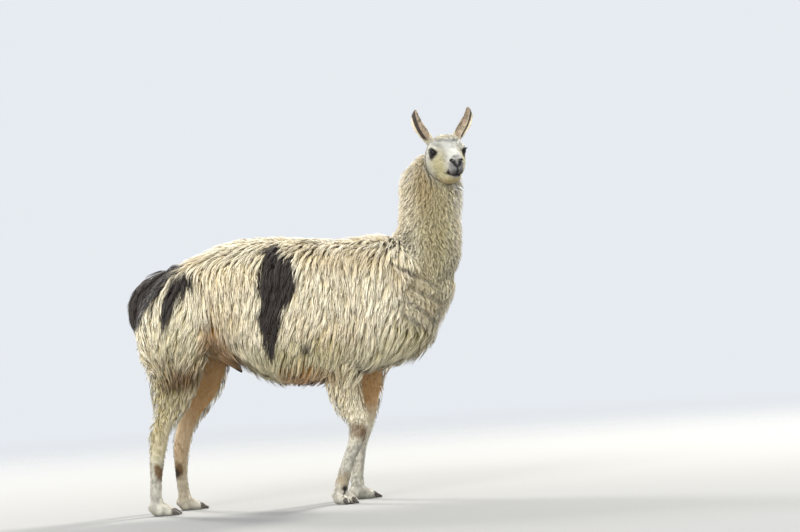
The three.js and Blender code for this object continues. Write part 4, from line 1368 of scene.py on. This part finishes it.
def markings_group():
    """The coat's pattern at a place on the skin: cream, with dark patches, brown tints, grey face and legs, and some
    patches of painted shade and light.
    """
    sockets = [("Place", "NodeSocketVector")] + [(n.capitalize(), "NodeSocketColor") for n in COLOUR_NAMES]
    tree, given, out = new_group("Llama markings", sockets, [("Colour", "NodeSocketColor")])
    place = given.outputs["Place"]
    shift = add(tree, "ShaderNodeVectorMath", {"operation": "SUBTRACT"}, in_0=noise(tree, place, 17, 4, "Color"),
                in_1=(0.5, 0.5, 0.5)).outputs[0]
    ragged = add(tree, "ShaderNodeVectorMath", {"operation": "MULTIPLY_ADD"}, in_0=shift, in_1=(0.06, 0.03, 0.06),
                 in_2=place).outputs[0]
    split = add(tree, "ShaderNodeSeparateXYZ", None, Vector=place)
    x, y, z = split.outputs
    on_side = {"right": ramped(tree, y, 0.02, -0.02), "left": ramped(tree, y, -0.02, 0.02)}
    on_side["inner left"] = calc(tree, "MULTIPLY", on_side["left"], ramped(tree, y, 0.125, 0.105))

    stains = ramped(tree, noise(tree, place, 4.5, 3), 0.44, 0.72)
    colour = mixed(tree, calc(tree, "MULTIPLY", stains, 0.5), given.outputs["Cream"], given.outputs["Tan"])
    low = ramped(tree, z, 0.40, 0.20)
    mottle = ramped(tree, noise(tree, place, 34, 3), 0.40, 0.62)
    colour = mixed(tree, calc(tree, "MULTIPLY", low, 0.75), colour, given.outputs["Grey"])
    colour = mixed(tree, calc(tree, "MULTIPLY", calc(tree, "MULTIPLY", low, mottle), 0.42), colour,
                   given.outputs["Slate"])
    for name, side, (mx, mz), (rx, rz), tilt, softness, strength in BODY_PATCHES:
        turn = (0.0, math.radians(tilt), 0.0)
        mask = blob(tree, ragged, (mx, 0.0, mz), (rx, 50.0, rz), turn, softness, strength)
        if side in on_side:
            mask = calc(tree, "MULTIPLY", mask, on_side[side])
        colour = mixed(tree, mask, colour, given.outputs[name.capitalize()])
    for name, middle, radii, tilt in TAIL_PATCHES:
        mask = blob(tree, ragged, middle, radii, (0.0, math.radians(tilt), 0.0), 0.2, 1.0)
        colour = mixed(tree, mask, colour, given.outputs[name.capitalize()])

    local = add(tree, "ShaderNodeMapping", {"vector_type": "TEXTURE"}, Vector=place, Location=EYE_MIDDLE,
                Rotation=HEAD.to_euler()).outputs[0]
    folded = add(tree, "ShaderNodeVectorMath", {"operation": "ABSOLUTE"}, in_0=local).outputs[0]
    local_split = add(tree, "ShaderNodeSeparateXYZ", None, Vector=local)
    folded_split = add(tree, "ShaderNodeSeparateXYZ", None, Vector=folded)
    both = add(tree, "ShaderNodeCombineXYZ", None, X=local_split.outputs[0], Y=folded_split.outputs[1],
               Z=local_split.outputs[2]).outputs[0]
    jitter = add(tree, "ShaderNodeVectorMath", {"operation": "MULTIPLY_ADD"}, in_0=shift,
                 in_1=(0.012, 0.006, 0.012), in_2=both).outputs[0]
    for name, middle, radii, tilt, softness, strength in HEAD_PATCHES:
        mask = blob(tree, jitter, middle, radii, (math.radians(tilt), 0.0, 0.0), softness, strength)
        colour = mixed(tree, mask, colour, given.outputs[name.capitalize()])

    # Ears: pink-brown inside the cup, with a dark band of painted shade along the cup's outer edge.
    share = calc(tree, "DIVIDE", calc(tree, "SUBTRACT", local_split.outputs[2], EAR_ROOT[2]), EAR_RISE)
    bow = calc(tree, "MULTIPLY", calc(tree, "SINE", calc(tree, "MULTIPLY", share, math.pi)), 0.017)
    middle = calc(tree, "ADD", calc(tree, "MULTIPLY_ADD", share, EAR_LEAN, EAR_ROOT[1]), bow)
    beyond = calc(tree, "SUBTRACT", folded_split.outputs[1], middle)
    ahead = calc(tree, "MULTIPLY_ADD", beyond, -0.2, local_split.outputs[0])
    in_cup = ramped(tree, ahead, EAR_ROOT[0] - 0.018, EAR_ROOT[0] - 0.008)
    on_ear = calc(tree, "MULTIPLY", ramped(tree, local_split.outputs[2], 0.035, 0.055),
                  ramped(tree, folded_split.outputs[1], 0.056, 0.066))
    inside = calc(tree, "MULTIPLY", on_ear, calc(tree, "SUBTRACT", 1.0, ramped(tree, beyond, 0.006, 0.014)))
    in_ear = calc(tree, "MULTIPLY", inside, in_cup)
    colour = mixed(tree, calc(tree, "MULTIPLY", in_ear, 0.8), colour, given.outputs["Pink"])
    hairy = ramped(tree, noise(tree, place, 75, 3), 0.42, 0.62, 0.0, 0.75)
    hairy = calc(tree, "MULTIPLY", hairy, ramped(tree, share, 0.15, 0.55, 0.35, 1.0))
    colour = mixed(tree, calc(tree, "MULTIPLY", in_ear, hairy), colour, given.outputs["Moss"])
    thin = ramped(tree, local_split.outputs[1], -0.02, 0.02, 0.0, 0.007)
    edge = calc(tree, "SUBTRACT", beyond, thin)
    # Painted shade: dark along the inner face of the cup's outer edge, where the cup shades itself.
    cup_shade = calc(tree, "MULTIPLY", ramped(tree, edge, 0.002, 0.007), on_ear)
    cup_shade = calc(tree, "MULTIPLY", cup_shade, ramped(tree, beyond, 0.024, 0.018))
    colour = mixed(tree, calc(tree, "MULTIPLY", cup_shade, calc(tree, "MULTIPLY", in_cup, 0.97)), colour,
                   given.outputs["Dark"])
    tree.links.new(colour, out.inputs["Colour"])
    return tree


def crease_shade_group():
    """How deep in a crease between the neck's folds a place is, 0 to 1: the mask for the painted shade in the creases.
    """
    tree, given, out = new_group("Neck crease shade", [("Place", "NodeSocketVector")], [("Depth", "NodeSocketFloat")])
    place = given.outputs["Place"]
    shift = add(tree, "ShaderNodeVectorMath", {"operation": "SUBTRACT"}, in_0=noise(tree, place, 55, 3, "Color"),
                in_1=(0.5, 0.5, 0.5)).outputs[0]
    ragged = add(tree, "ShaderNodeVectorMath", {"operation": "MULTIPLY_ADD"}, in_0=shift, in_1=(0.03, 0.0, 0.03),
                 in_2=place).outputs[0]
    depth = 0.0
    for x, z, half, slope in CREASES:
        turn = (0.0, math.radians(slope), 0.0)
        mask = blob(tree, ragged, (x, 0.0, z), (half, 50.0, 0.0085), turn, 0.9, 1.0)
        depth = calc(tree, "MAXIMUM", mask, depth)
    tree.links.new(depth, out.inputs["Depth"])
    return tree


def shaded_in_creases(tree, colour, colours):
    """A material's colour, darkened down in the creases between the neck's folds by painted shade."""
    group = add(tree, "ShaderNodeGroup", {"node_tree": bpy.data.node_groups["Neck crease shade"]})
    plugged(tree, group.inputs["Place"], add(tree, "ShaderNodeTexCoord").outputs["Object"])
    # Painted shade: the colour is mixed towards dark down in the creases.
    share = calc(tree, "MULTIPLY", group.outputs["Depth"], 0.68)
    return mixed(tree, share, colour, (*colours.dark, 1.0))


def tone_group():
    """A strand's colour, with painted shade and light along it: darker and warmer at its root, paler at its tip,
    and different from its neighbours'. Its light falls on it partly as on the whole coat, and its fibres show as fine
    streaks."""
    inputs = [("Colour", "NodeSocketColor"), ("Hair", "NodeSocketVector"), ("Fibre", "NodeSocketVector"),
              ("Soft", "NodeSocketVector"), ("Softness", "NodeSocketFloat"), ("Tip light", "NodeSocketFloat"),
              ("Root shade", "NodeSocketFloat")]
    outputs = [("Colour", "NodeSocketColor"), ("Roughness", "NodeSocketFloat"), ("Normal", "NodeSocketVector")]
    tree, given, out = new_group("Strand tone", inputs, outputs)
    along, strand, lock = add(tree, "ShaderNodeSeparateXYZ", None, Vector=given.outputs["Hair"]).outputs
    # Painted shade towards the root and painted light towards the tip.
    deep = ramped(tree, along, 0.0, 0.75, given.outputs["Root shade"], given.outputs["Tip light"])
    varied = calc(tree, "MULTIPLY", deep, ramped(tree, strand, 0.0, 1.0, 0.88, 1.10))
    varied = calc(tree, "MULTIPLY", varied, ramped(tree, lock, 0.0, 1.0, 0.92, 1.06))
    stretched = add(tree, "ShaderNodeVectorMath", {"operation": "MULTIPLY"}, in_0=given.outputs["Fibre"],
                    in_1=(3.0, 1.2, 1.0)).outputs[0]
    streaks = noise(tree, stretched, 1.0, 2)
    varied = calc(tree, "MULTIPLY", varied, ramped(tree, streaks, 0.3, 0.7, 0.90, 1.06))
    scaled = add(tree, "ShaderNodeHueSaturation", None, Color=given.outputs["Colour"], Value=varied,
                 Saturation=ramped(tree, along, 0.0, 0.8, 1.6, 0.95))
    tree.links.new(scaled.outputs[0], out.inputs["Colour"])
    own = add(tree, "ShaderNodeNewGeometry").outputs["Normal"]
    shared = add(tree, "ShaderNodeMix", {"data_type": "VECTOR"}, in_0=given.outputs["Softness"], in_4=own,
                 in_5=given.outputs["Soft"]).outputs[1]
    bump = add(tree, "ShaderNodeBump", None, Height=streaks, Strength=0.25, Distance=0.001, Normal=shared)
    tree.links.new(bump.outputs[0], out.inputs["Normal"])
    tree.links.new(ramped(tree, strand, 0.0, 1.0, 0.62, 0.86), out.inputs["Roughness"])
    return tree


def attribute(tree, name):
    return add(tree, "ShaderNodeAttribute", {"attribute_name": name}).outputs["Vector"]


def new_material(name):
    material = bpy.data.materials.new(name)
    material.use_nodes = True
    return material, material.node_tree, material.node_tree.nodes["Principled BSDF"]


def marked(tree, place, colours):
    """The markings group placed in a material with its colours."""
    group = add(tree, "ShaderNodeGroup", {"node_tree": bpy.data.node_groups["Llama markings"]})
    plugged(tree, group.inputs["Place"], place)
    for name in COLOUR_NAMES:
        group.inputs[name.capitalize()].default_value = (*getattr(colours, name), 1.0)
    return group.outputs["Colour"]


def coat_material(name, colours, root, tip, sheen):
    """Hair over the markings, with painted shade towards the roots and in the neck's creases, and painted light
    towards the tips.
    """
    material, tree, shader = new_material(name)
    group = add(tree, "ShaderNodeGroup", {"node_tree": bpy.data.node_groups["Strand tone"]})
    plugged(tree, group.inputs["Colour"], marked(tree, attribute(tree, "spot"), colours))
    for key in ("Hair", "Fibre", "Soft"):
        plugged(tree, group.inputs[key], attribute(tree, key.lower()))
    group.inputs["Softness"].default_value = 0.55
    group.inputs["Root shade"].default_value = root
    group.inputs["Tip light"].default_value = tip
    plugged(tree, shader.inputs["Base Color"], shaded_in_creases(tree, group.outputs["Colour"], colours))
    plugged(tree, shader.inputs["Roughness"], group.outputs["Roughness"])
    plugged(tree, shader.inputs["Normal"], group.outputs["Normal"])
    shader.inputs["Sheen Weight"].default_value = sheen
    shader.inputs["Specular IOR Level"].default_value = 0.3
    return material


def skin_material(colours):
    """Skin and the flat short fur on it: fine hairs and pores as bump over the markings."""
    material, tree, shader = new_material("skin")
    place = add(tree, "ShaderNodeTexCoord").outputs["Object"]
    fine = noise(tree, place, 900, 2)
    colour = marked(tree, place, colours)
    shade = add(tree, "ShaderNodeHueSaturation", None, Color=colour, Value=ramped(tree, fine, 0.3, 0.7, 0.7, 1.0))
    plugged(tree, shader.inputs["Base Color"], shade.outputs[0])
    pores = calc(tree, "ADD", fine, calc(tree, "MULTIPLY", noise(tree, place, 160, 4), 0.6))
    bump = add(tree, "ShaderNodeBump", None, Height=pores, Strength=0.35, Distance=0.0012)
    plugged(tree, shader.inputs["Normal"], bump.outputs[0])
    plugged(tree, shader.inputs["Roughness"], ramped(tree, fine, 0.3, 0.7, 0.6, 0.85))
    shader.inputs["Specular IOR Level"].default_value = 0.25
    return material


def horn_material(colours):
    """Claws: streaked along their length, in darker and paler streaks."""
    material, tree, shader = new_material("claw_horn")
    place = add(tree, "ShaderNodeTexCoord").outputs["Object"]
    stretched = add(tree, "ShaderNodeMapping", None, Vector=place, Scale=(40, 260, 260)).outputs[0]
    streaks = noise(tree, stretched, 1.0, 4)
    pale = (0.16, 0.13, 0.10, 1.0)
    colour = mixed(tree, ramped(tree, streaks, 0.35, 0.75, 0.0, 0.8), (*colours.horn, 1.0), pale)
    plugged(tree, shader.inputs["Base Color"], colour)
    plugged(tree, shader.inputs["Roughness"], ramped(tree, streaks, 0.3, 0.7, 0.42, 0.62))
    bump = add(tree, "ShaderNodeBump", None, Height=streaks, Strength=0.4, Distance=0.0008)
    plugged(tree, shader.inputs["Normal"], bump.outputs[0])
    return material


def eye_material(colours):
    """A wet dark eye: a wide level pupil in a brown iris."""
    material, tree, shader = new_material("wet_eye")
    look = attribute(tree, "look")
    pupil = blob(tree, look, (1.0, 0.0, 0.0), (0.6, 0.42, 0.2), (0, 0, 0), 0.12, 1.0)
    iris = blob(tree, look, (1.0, 0.0, 0.0), (0.9, 0.66, 0.6), (0, 0, 0), 0.08, 1.0)
    flecks = noise(tree, look, 14, 3)
    brown = mixed(tree, flecks, (0.004, 0.003, 0.003, 1), (0.010, 0.007, 0.006, 1))
    colour = mixed(tree, iris, (0.012, 0.010, 0.009, 1), brown)
    colour = mixed(tree, pupil, colour, (0.002, 0.002, 0.003, 1))
    plugged(tree, shader.inputs["Base Color"], colour)
    plugged(tree, shader.inputs["Roughness"], ramped(tree, flecks, 0.2, 0.8, 0.06, 0.12))
    shader.inputs["Specular IOR Level"].default_value = 0.2
    shader.inputs["Coat Weight"].default_value = 0.2
    shader.inputs["Coat Roughness"].default_value = 0.03
    return material


# ---------- eyes and claws ----------


def make_eye(word, side, material):
    """The eyeball with a bulging cornea, its own directions kept as an attribute for the pupil."""
    ball = start_from_ball(f"eyeball_{word}", 64, 40)
    co = coords(ball.data)
    outward, along, up = eye_axes(side)
    look = np.stack([co @ np.array((0.0, 0.0, 1.0)), co[:, 0], co[:, 1]], axis=1)
    bulge = 1 + 0.05 * smooth_step(0.72, 0.95, look[:, 0])
    local = (look[:, :1] * outward + look[:, 1:2] * along + look[:, 2:] * up) * (EYE_RADIUS * bulge)[:, None]
    middle = np.array((EYE_SET[0], side * EYE_SET[1], EYE_SET[2]))
    set_coords(ball.data, placed(middle + local, HEAD))
    ball.data.attributes.new("look", "FLOAT_VECTOR", "POINT").data.foreach_set("vector", look.astype(np.float32).ravel())
    only(ball)
    bpy.ops.object.mode_set(mode="EDIT")
    bpy.ops.mesh.select_all(action="SELECT")
    bpy.ops.mesh.normals_make_consistent(inside=False)
    bpy.ops.object.mode_set(mode="OBJECT")
    ball.data.materials.append(material)
    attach(smooth_shaded(ball), "root")
    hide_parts(f"eye_{word}")


def make_lashes(word, side, material):
    """Long dark lashes along the upper lid."""
    outward, along, up = eye_axes(side)
    middle = np.array((EYE_SET[0], side * EYE_SET[1], EYE_SET[2]))
    draw = np.random.default_rng(61 + side)
    count = 70
    place = draw.uniform(-0.95, 0.95, count)
    h = place * EYE_OPENING[0]
    v = np.sqrt(1 - place**2) * EYE_OPENING[1] - 0.22 * h + 0.001
    radius = LID_RADIUS + 0.0008
    out = np.sqrt(np.maximum(radius**2 - h**2 - v**2, 1e-6))
    root = middle + out[:, None] * outward + h[:, None] * along + v[:, None] * up
    long = draw.uniform(0.008, 0.012, count) * (1 - 0.35 * place**2)
    stops, shape = SHAPES[4]
    paths = np.empty((count, 5, 3))
    for k, s in enumerate(stops):
        spread = (h * 0.35 / EYE_OPENING[0] * long)[:, None] * along
        paths[:, k] = root + (s * long)[:, None] * outward * 0.85 + s * spread
        paths[:, k] += ((-0.55 * s + 0.75 * s * s) * long)[:, None] * up
    turn = np.array(HEAD.to_3x3())
    sides = np.broadcast_to(along @ turn.T, paths.shape)
    ups = np.broadcast_to(up @ turn.T, paths.shape)
    world = placed(paths.reshape(-1, 3), HEAD).reshape(paths.shape)
    strands = {"paths": world, "sides": sides, "ups": ups, "softs": ups, "widths": np.full(count, 0.0011),
               "shape": shape, "flat": 0.9, "depth": np.ones(count), "roots": placed(root, HEAD),
               "spots": np.repeat(placed(middle[None], HEAD), count, axis=0),
               "tone": draw.random((count, 2))}
    lashes = hair_mesh(f"lashes_{word}", strands, unwrap_head, material)


def make_claw(name, material):
    """A curved claw over the toe's tip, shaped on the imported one's place and taken smooth."""
    leg, which = name.rsplit("_", 1)
    side = int(np.sign(LEGS[leg][0])) * (1 if which == "outer" else -1)
    claw = swept(f"horn_{name}", toe_sweep(CLAW, side), 20, 20, foot_matrix(leg))
    co = coords(claw.data)
    co[:, 2] = np.maximum(co[:, 2], 0.0)
    set_coords(claw.data, co)
    claw.data.materials.append(material)
    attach(smooth_shaded(claw), "root")
    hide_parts(f"claw_{name}")


# ---------- the stage ----------

CAMERA_AIM = (0.4345, 1.0175)  # x and z that the optical axis passes through, square to the llama's side
CAMERA_DISTANCE = 14.0
CAMERA_ROLL = math.atan2(12, 181)
FRAME_WIDTH = 3.52  # metres across the picture at the llama
SENSOR = 36.0


def make_camera():
    data = bpy.data.cameras.new("camera")
    data.sensor_width = SENSOR
    data.lens = SENSOR * CAMERA_DISTANCE / FRAME_WIDTH
    data.clip_end = 200
    camera = bpy.data.objects.new("camera", data)
    bpy.context.scene.collection.objects.link(camera)
    level = Matrix.Rotation(math.pi / 2, 4, "X")
    rolled = Matrix.Rotation(CAMERA_ROLL, 4, "Y")
    place = Matrix.Translation((CAMERA_AIM[0], -CAMERA_DISTANCE, CAMERA_AIM[1]))
    camera.matrix_world = place @ rolled @ level
    bpy.context.scene.camera = camera


def soft_light(name, place, aim, size, power, colour):
    """A square softbox turned towards the llama."""
    bpy.ops.object.light_add(type="AREA", location=place)
    light = bpy.context.active_object
    light.name = name
    light.rotation_mode = "QUATERNION"
    light.rotation_quaternion = (Vector(aim) - Vector(place)).to_track_quat("-Z", "Y")
    light.data.size = size
    light.data.energy = power
    light.data.color = colour


def floor_material(colour, radius):
    """Pale, and fading out into the backdrop all round."""
    material, tree, shader = new_material("studio_floor")
    place = add(tree, "ShaderNodeTexCoord").outputs["Object"]
    away = add(tree, "ShaderNodeVectorMath", {"operation": "LENGTH"}, in_0=place).outputs["Value"]
    plugged(tree, shader.inputs["Alpha"], ramped(tree, away, 0.12 * radius, 0.6 * radius, 1.0, 0.0))
    grain = noise(tree, place, 60, 2)
    plugged(tree, shader.inputs["Roughness"], ramped(tree, grain, 0.0, 1.0, 0.7, 0.9))
    shader.inputs["Base Color"].default_value = (*colour, 1.0)
    shader.inputs["Specular IOR Level"].default_value = 0.1
    return material


def make_stage(settings):
    bpy.ops.mesh.primitive_circle_add(vertices=96, radius=settings.floor_radius, fill_type="TRIFAN")
    floor = bpy.context.active_object
    floor.name = "studio_floor"
    floor.data.materials.append(floor_material(settings.floor, settings.floor_radius))
    soft_light("fill", (-3.5, -7.5, 5.0), (0, 0, 0.8), 4.0, settings.fill, (1.0, 0.99, 0.97))
    soft_light("rim_front", (4.6, 4.6, 5.0), (0.1, 0, 1.0), 1.6, settings.rim, (1.0, 0.97, 0.90))
    soft_light("rim_back", (-3.8, 5.2, 4.6), (0, 0, 1.0), 1.6, 0.6 * settings.rim, (1.0, 0.97, 0.92))
    world = bpy.data.worlds.new("studio")
    bpy.context.scene.world = world
    world.use_nodes = True
    background = world.node_tree.nodes["Background"]
    background.inputs["Color"].default_value = (*settings.backdrop, 1.0)
    background.inputs["Strength"].default_value = settings.backdrop_strength
    bpy.context.scene.view_settings.view_transform = "Standard"
    make_camera()


# ---------- settings ----------


def length(name, default, description):
    return FloatProperty(name=name, description=description, default=default, min=0.0005, max=1.0,
                         subtype="DISTANCE", unit="LENGTH")


def tint(name, default, description):
    return FloatVectorProperty(name=name, description=description, default=default, size=3, min=0.0, max=1.0,
                               subtype="COLOR")


class LlamaSizes(bpy.types.PropertyGroup):
    lock_spacing: length("Lock spacing", 0.0195, "Distance between the roots of neighbouring locks of the fleece")
    strands: IntProperty(name="Strands per lock", description="Strands in each lock of the fleece", default=13,
                         min=1, max=60)
    strand_width: length("Strand width", 0.0052, "Width of a strand of the fleece at its middle")
    neck_spacing: length("Neck lock spacing", 0.0078, "Distance between the roots of the neck's locks")
    neck_width: length("Neck strand width", 0.0027, "Width of a strand of the neck's wool at its middle")


class LlamaColours(bpy.types.PropertyGroup):
    # Some of these also paint light and shade: brown, dark, slate and black paint shade in creases, folds, ear cups,
    # mouth corners, under the jaw and between the toes; straw and rust partly paint shade under the belly and straw on
    # the cheeks; apricot partly paints warm light inside the far legs; rust partly paints a rim highlight on the tail;
    # white partly paints light on the bridge of the nose.
    cream: tint("Cream", (0.95, 0.86, 0.65), "Clean fleece")
    white: tint("White", (0.86, 0.84, 0.78), "Cleanest fur of face and crown")
    straw: tint("Straw", (0.60, 0.53, 0.29), "Yellowed wool of neck, cheeks and belly")
    tan: tint("Tan", (0.62, 0.46, 0.24), "Stained fleece")
    apricot: tint("Apricot", (0.64, 0.40, 0.20), "Thin-haired skin inside the legs")
    rust: tint("Rust", (0.50, 0.24, 0.09), "Reddish wool of belly and tail's edge")
    brown: tint("Brown", (0.16, 0.085, 0.035), "Brown patches on belly and legs")
    dark: tint("Dark", (0.040, 0.031, 0.026), "Saddle patch and tail")
    grey: tint("Grey white", (0.56, 0.55, 0.49), "Short fur of face and shanks")
    slate: tint("Slate", (0.20, 0.19, 0.18), "Mottling and muzzle")
    black: tint("Black", (0.012, 0.010, 0.010), "Bare skin of eyelids, nostrils and lips")
    pink: tint("Pink", (0.36, 0.24, 0.17), "Bare skin inside the ears")
    moss: tint("Moss grey", (0.17, 0.16, 0.11), "Fine hair inside the ears")
    horn: tint("Horn", (0.03, 0.025, 0.022), "Claws")


class LlamaStage(bpy.types.PropertyGroup):
    floor_radius: length("Floor radius", 14.0, "Radius of the floor")
    floor: tint("Floor", (0.26, 0.26, 0.255), "Floor colour")
    backdrop: tint("Backdrop", (0.84, 0.88, 0.93), "Backdrop colour")
    backdrop_strength: FloatProperty(name="Backdrop strength", description="Brightness of the backdrop",
                                     default=0.95, min=0.0, max=5.0)
    fill: FloatProperty(name="Fill light", description="Power of the soft light from the camera's side",
                        default=860.0, min=0.0, max=5000.0, unit="POWER")
    rim: FloatProperty(name="Rim light", description="Power of the lights from behind and above", default=1150.0,
                       min=0.0, max=5000.0, unit="POWER")


# ---------- operators ----------


def needed(name):
    """A piece or material that an earlier operator has made."""
    found = bpy.data.objects.get(name) or bpy.data.materials.get(name)
    if found is None:
        raise RuntimeError(f"{name} has to be made first")
    return found


class LLAMA_OT_looks(bpy.types.Operator):
    """Make the shader groups and materials of skin, hair, eyes and claws"""

    bl_idname = "llama.looks"
    bl_label = "Materials"

    def execute(self, context):
        colours = context.scene.llama_colours
        markings_group()
        crease_shade_group()
        tone_group()
        skin_material(colours)
        coat_material("wool", colours, 0.66, 1.08, 0.4)
        coat_material("fine_fur", colours, 0.85, 1.03, 0.05)
        eye_material(colours)
        horn_material(colours)
        return {"FINISHED"}


class LLAMA_OT_skin(bpy.types.Operator):
    """Build the one skin of body, neck, head, ears, legs and tail"""

    bl_idname = "llama.skin"
    bl_label = "Skin"

    def execute(self, context):
        material = needed("skin")
        skin = make_skin()
        skin.name = "llama_skin"
        skin.data.materials.clear()
        skin.data.materials.append(material)
        for polygon in skin.data.polygons:
            polygon.material_index = 0
        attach(skin, "root")
        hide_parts(*FLESH)
        return {"FINISHED"}


class LLAMA_OT_fleece(bpy.types.Operator):
    """Grow the long locks of trunk and haunches"""

    bl_idname = "llama.fleece"
    bl_label = "Fleece"

    def execute(self, context):
        for piece in make_fleece(Hide(needed("llama_skin")), needed("wool"), context.scene.llama_sizes):
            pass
        return {"FINISHED"}


class LLAMA_OT_neck_wool(bpy.types.Operator):
    """Grow the neck's shorter wool"""

    bl_idname = "llama.neck_wool"
    bl_label = "Neck wool"

    def execute(self, context):
        for piece in make_neck_wool(Hide(needed("llama_skin")), needed("wool"), context.scene.llama_sizes):
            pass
        return {"FINISHED"}


class LLAMA_OT_tail_wool(bpy.types.Operator):
    """Grow the dark wool of the tail"""

    bl_idname = "llama.tail_wool"
    bl_label = "Tail wool"

    def execute(self, context):
        wool = make_tail_wool(Hide(needed("llama_skin")), needed("wool"), context.scene.llama_sizes)
        return {"FINISHED"}


class LLAMA_OT_leg_coat(bpy.types.Operator):
    """Grow the wool of the upper legs and the short fur of shanks and feet"""

    bl_idname = "llama.leg_coat"
    bl_label = "Leg coat"

    def execute(self, context):
        hide = Hide(needed("llama_skin"))
        for piece in make_leg_coat(hide, needed("wool"), needed("fine_fur"), context.scene.llama_sizes):
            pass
        return {"FINISHED"}


class LLAMA_OT_head_fur(bpy.types.Operator):
    """Grow the face's short fur, the topknot and the fur of the ears"""

    bl_idname = "llama.head_fur"
    bl_label = "Head fur"

    def execute(self, context):
        hide = Hide(needed("llama_skin"))
        for piece in make_head_fur(hide, needed("wool"), needed("fine_fur"), context.scene.llama_sizes):
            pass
        return {"FINISHED"}


class LLAMA_OT_eyes(bpy.types.Operator):
    """Build the two eyes with their lashes"""

    bl_idname = "llama.eyes"
    bl_label = "Eyes"

    def execute(self, context):
        for word, side in SIDES.items():
            make_eye(word, side, needed("wet_eye"))
            make_lashes(word, side, needed("fine_fur"))
        return {"FINISHED"}


class LLAMA_OT_claws(bpy.types.Operator):
    """Build the two claws of each foot"""

    bl_idname = "llama.claws"
    bl_label = "Claws"

    def execute(self, context):
        for leg in LEGS:
            for which in ("outer", "inner"):
                make_claw(f"{leg}_{which}", needed("claw_horn"))
        return {"FINISHED"}


class LLAMA_OT_stage(bpy.types.Operator):
    """Set up floor, lights, backdrop and camera"""

    bl_idname = "llama.stage"
    bl_label = "Stage"

    def execute(self, context):
        make_stage(context.scene.llama_stage)
        return {"FINISHED"}


PIECES = (LLAMA_OT_looks, LLAMA_OT_skin, LLAMA_OT_fleece, LLAMA_OT_neck_wool, LLAMA_OT_tail_wool,
          LLAMA_OT_leg_coat, LLAMA_OT_head_fur, LLAMA_OT_eyes, LLAMA_OT_claws, LLAMA_OT_stage)
SETTINGS = (LlamaSizes, LlamaColours, LlamaStage)


class LLAMA_PT_panel(bpy.types.Panel):
    """The llama's settings and pieces in the sidebar"""

    bl_idname = "LLAMA_PT_panel"
    bl_label = "Llama"
    bl_space_type = "VIEW_3D"
    bl_region_type = "UI"
    bl_category = "Llama"

    def draw(self, context):
        layout = self.layout
        scene = context.scene
        for title, group in (("Sizes", scene.llama_sizes), ("Colours", scene.llama_colours),
                             ("Stage", scene.llama_stage)):
            box = layout.box()
            box.label(text=title)
            for key in group.__annotations__:
                box.prop(group, key)
        column = layout.column(align=True)
        for piece in PIECES:
            column.operator(piece.bl_idname)


def register():
    for kind in (*SETTINGS, *PIECES, LLAMA_PT_panel):
        bpy.utils.register_class(kind)
    bpy.types.Scene.llama_sizes = PointerProperty(type=LlamaSizes)
    bpy.types.Scene.llama_colours = PointerProperty(type=LlamaColours)
    bpy.types.Scene.llama_stage = PointerProperty(type=LlamaStage)


def unregister():
    del bpy.types.Scene.llama_stage
    del bpy.types.Scene.llama_colours
    del bpy.types.Scene.llama_sizes
    for kind in reversed((*SETTINGS, *PIECES, LLAMA_PT_panel)):
        bpy.utils.unregister_class(kind)


def main():
    register()
    for piece in PIECES:
        family, action = piece.bl_idname.split(".")
        getattr(getattr(bpy.ops, family), action)()


if __name__ == "__main__":
    main()
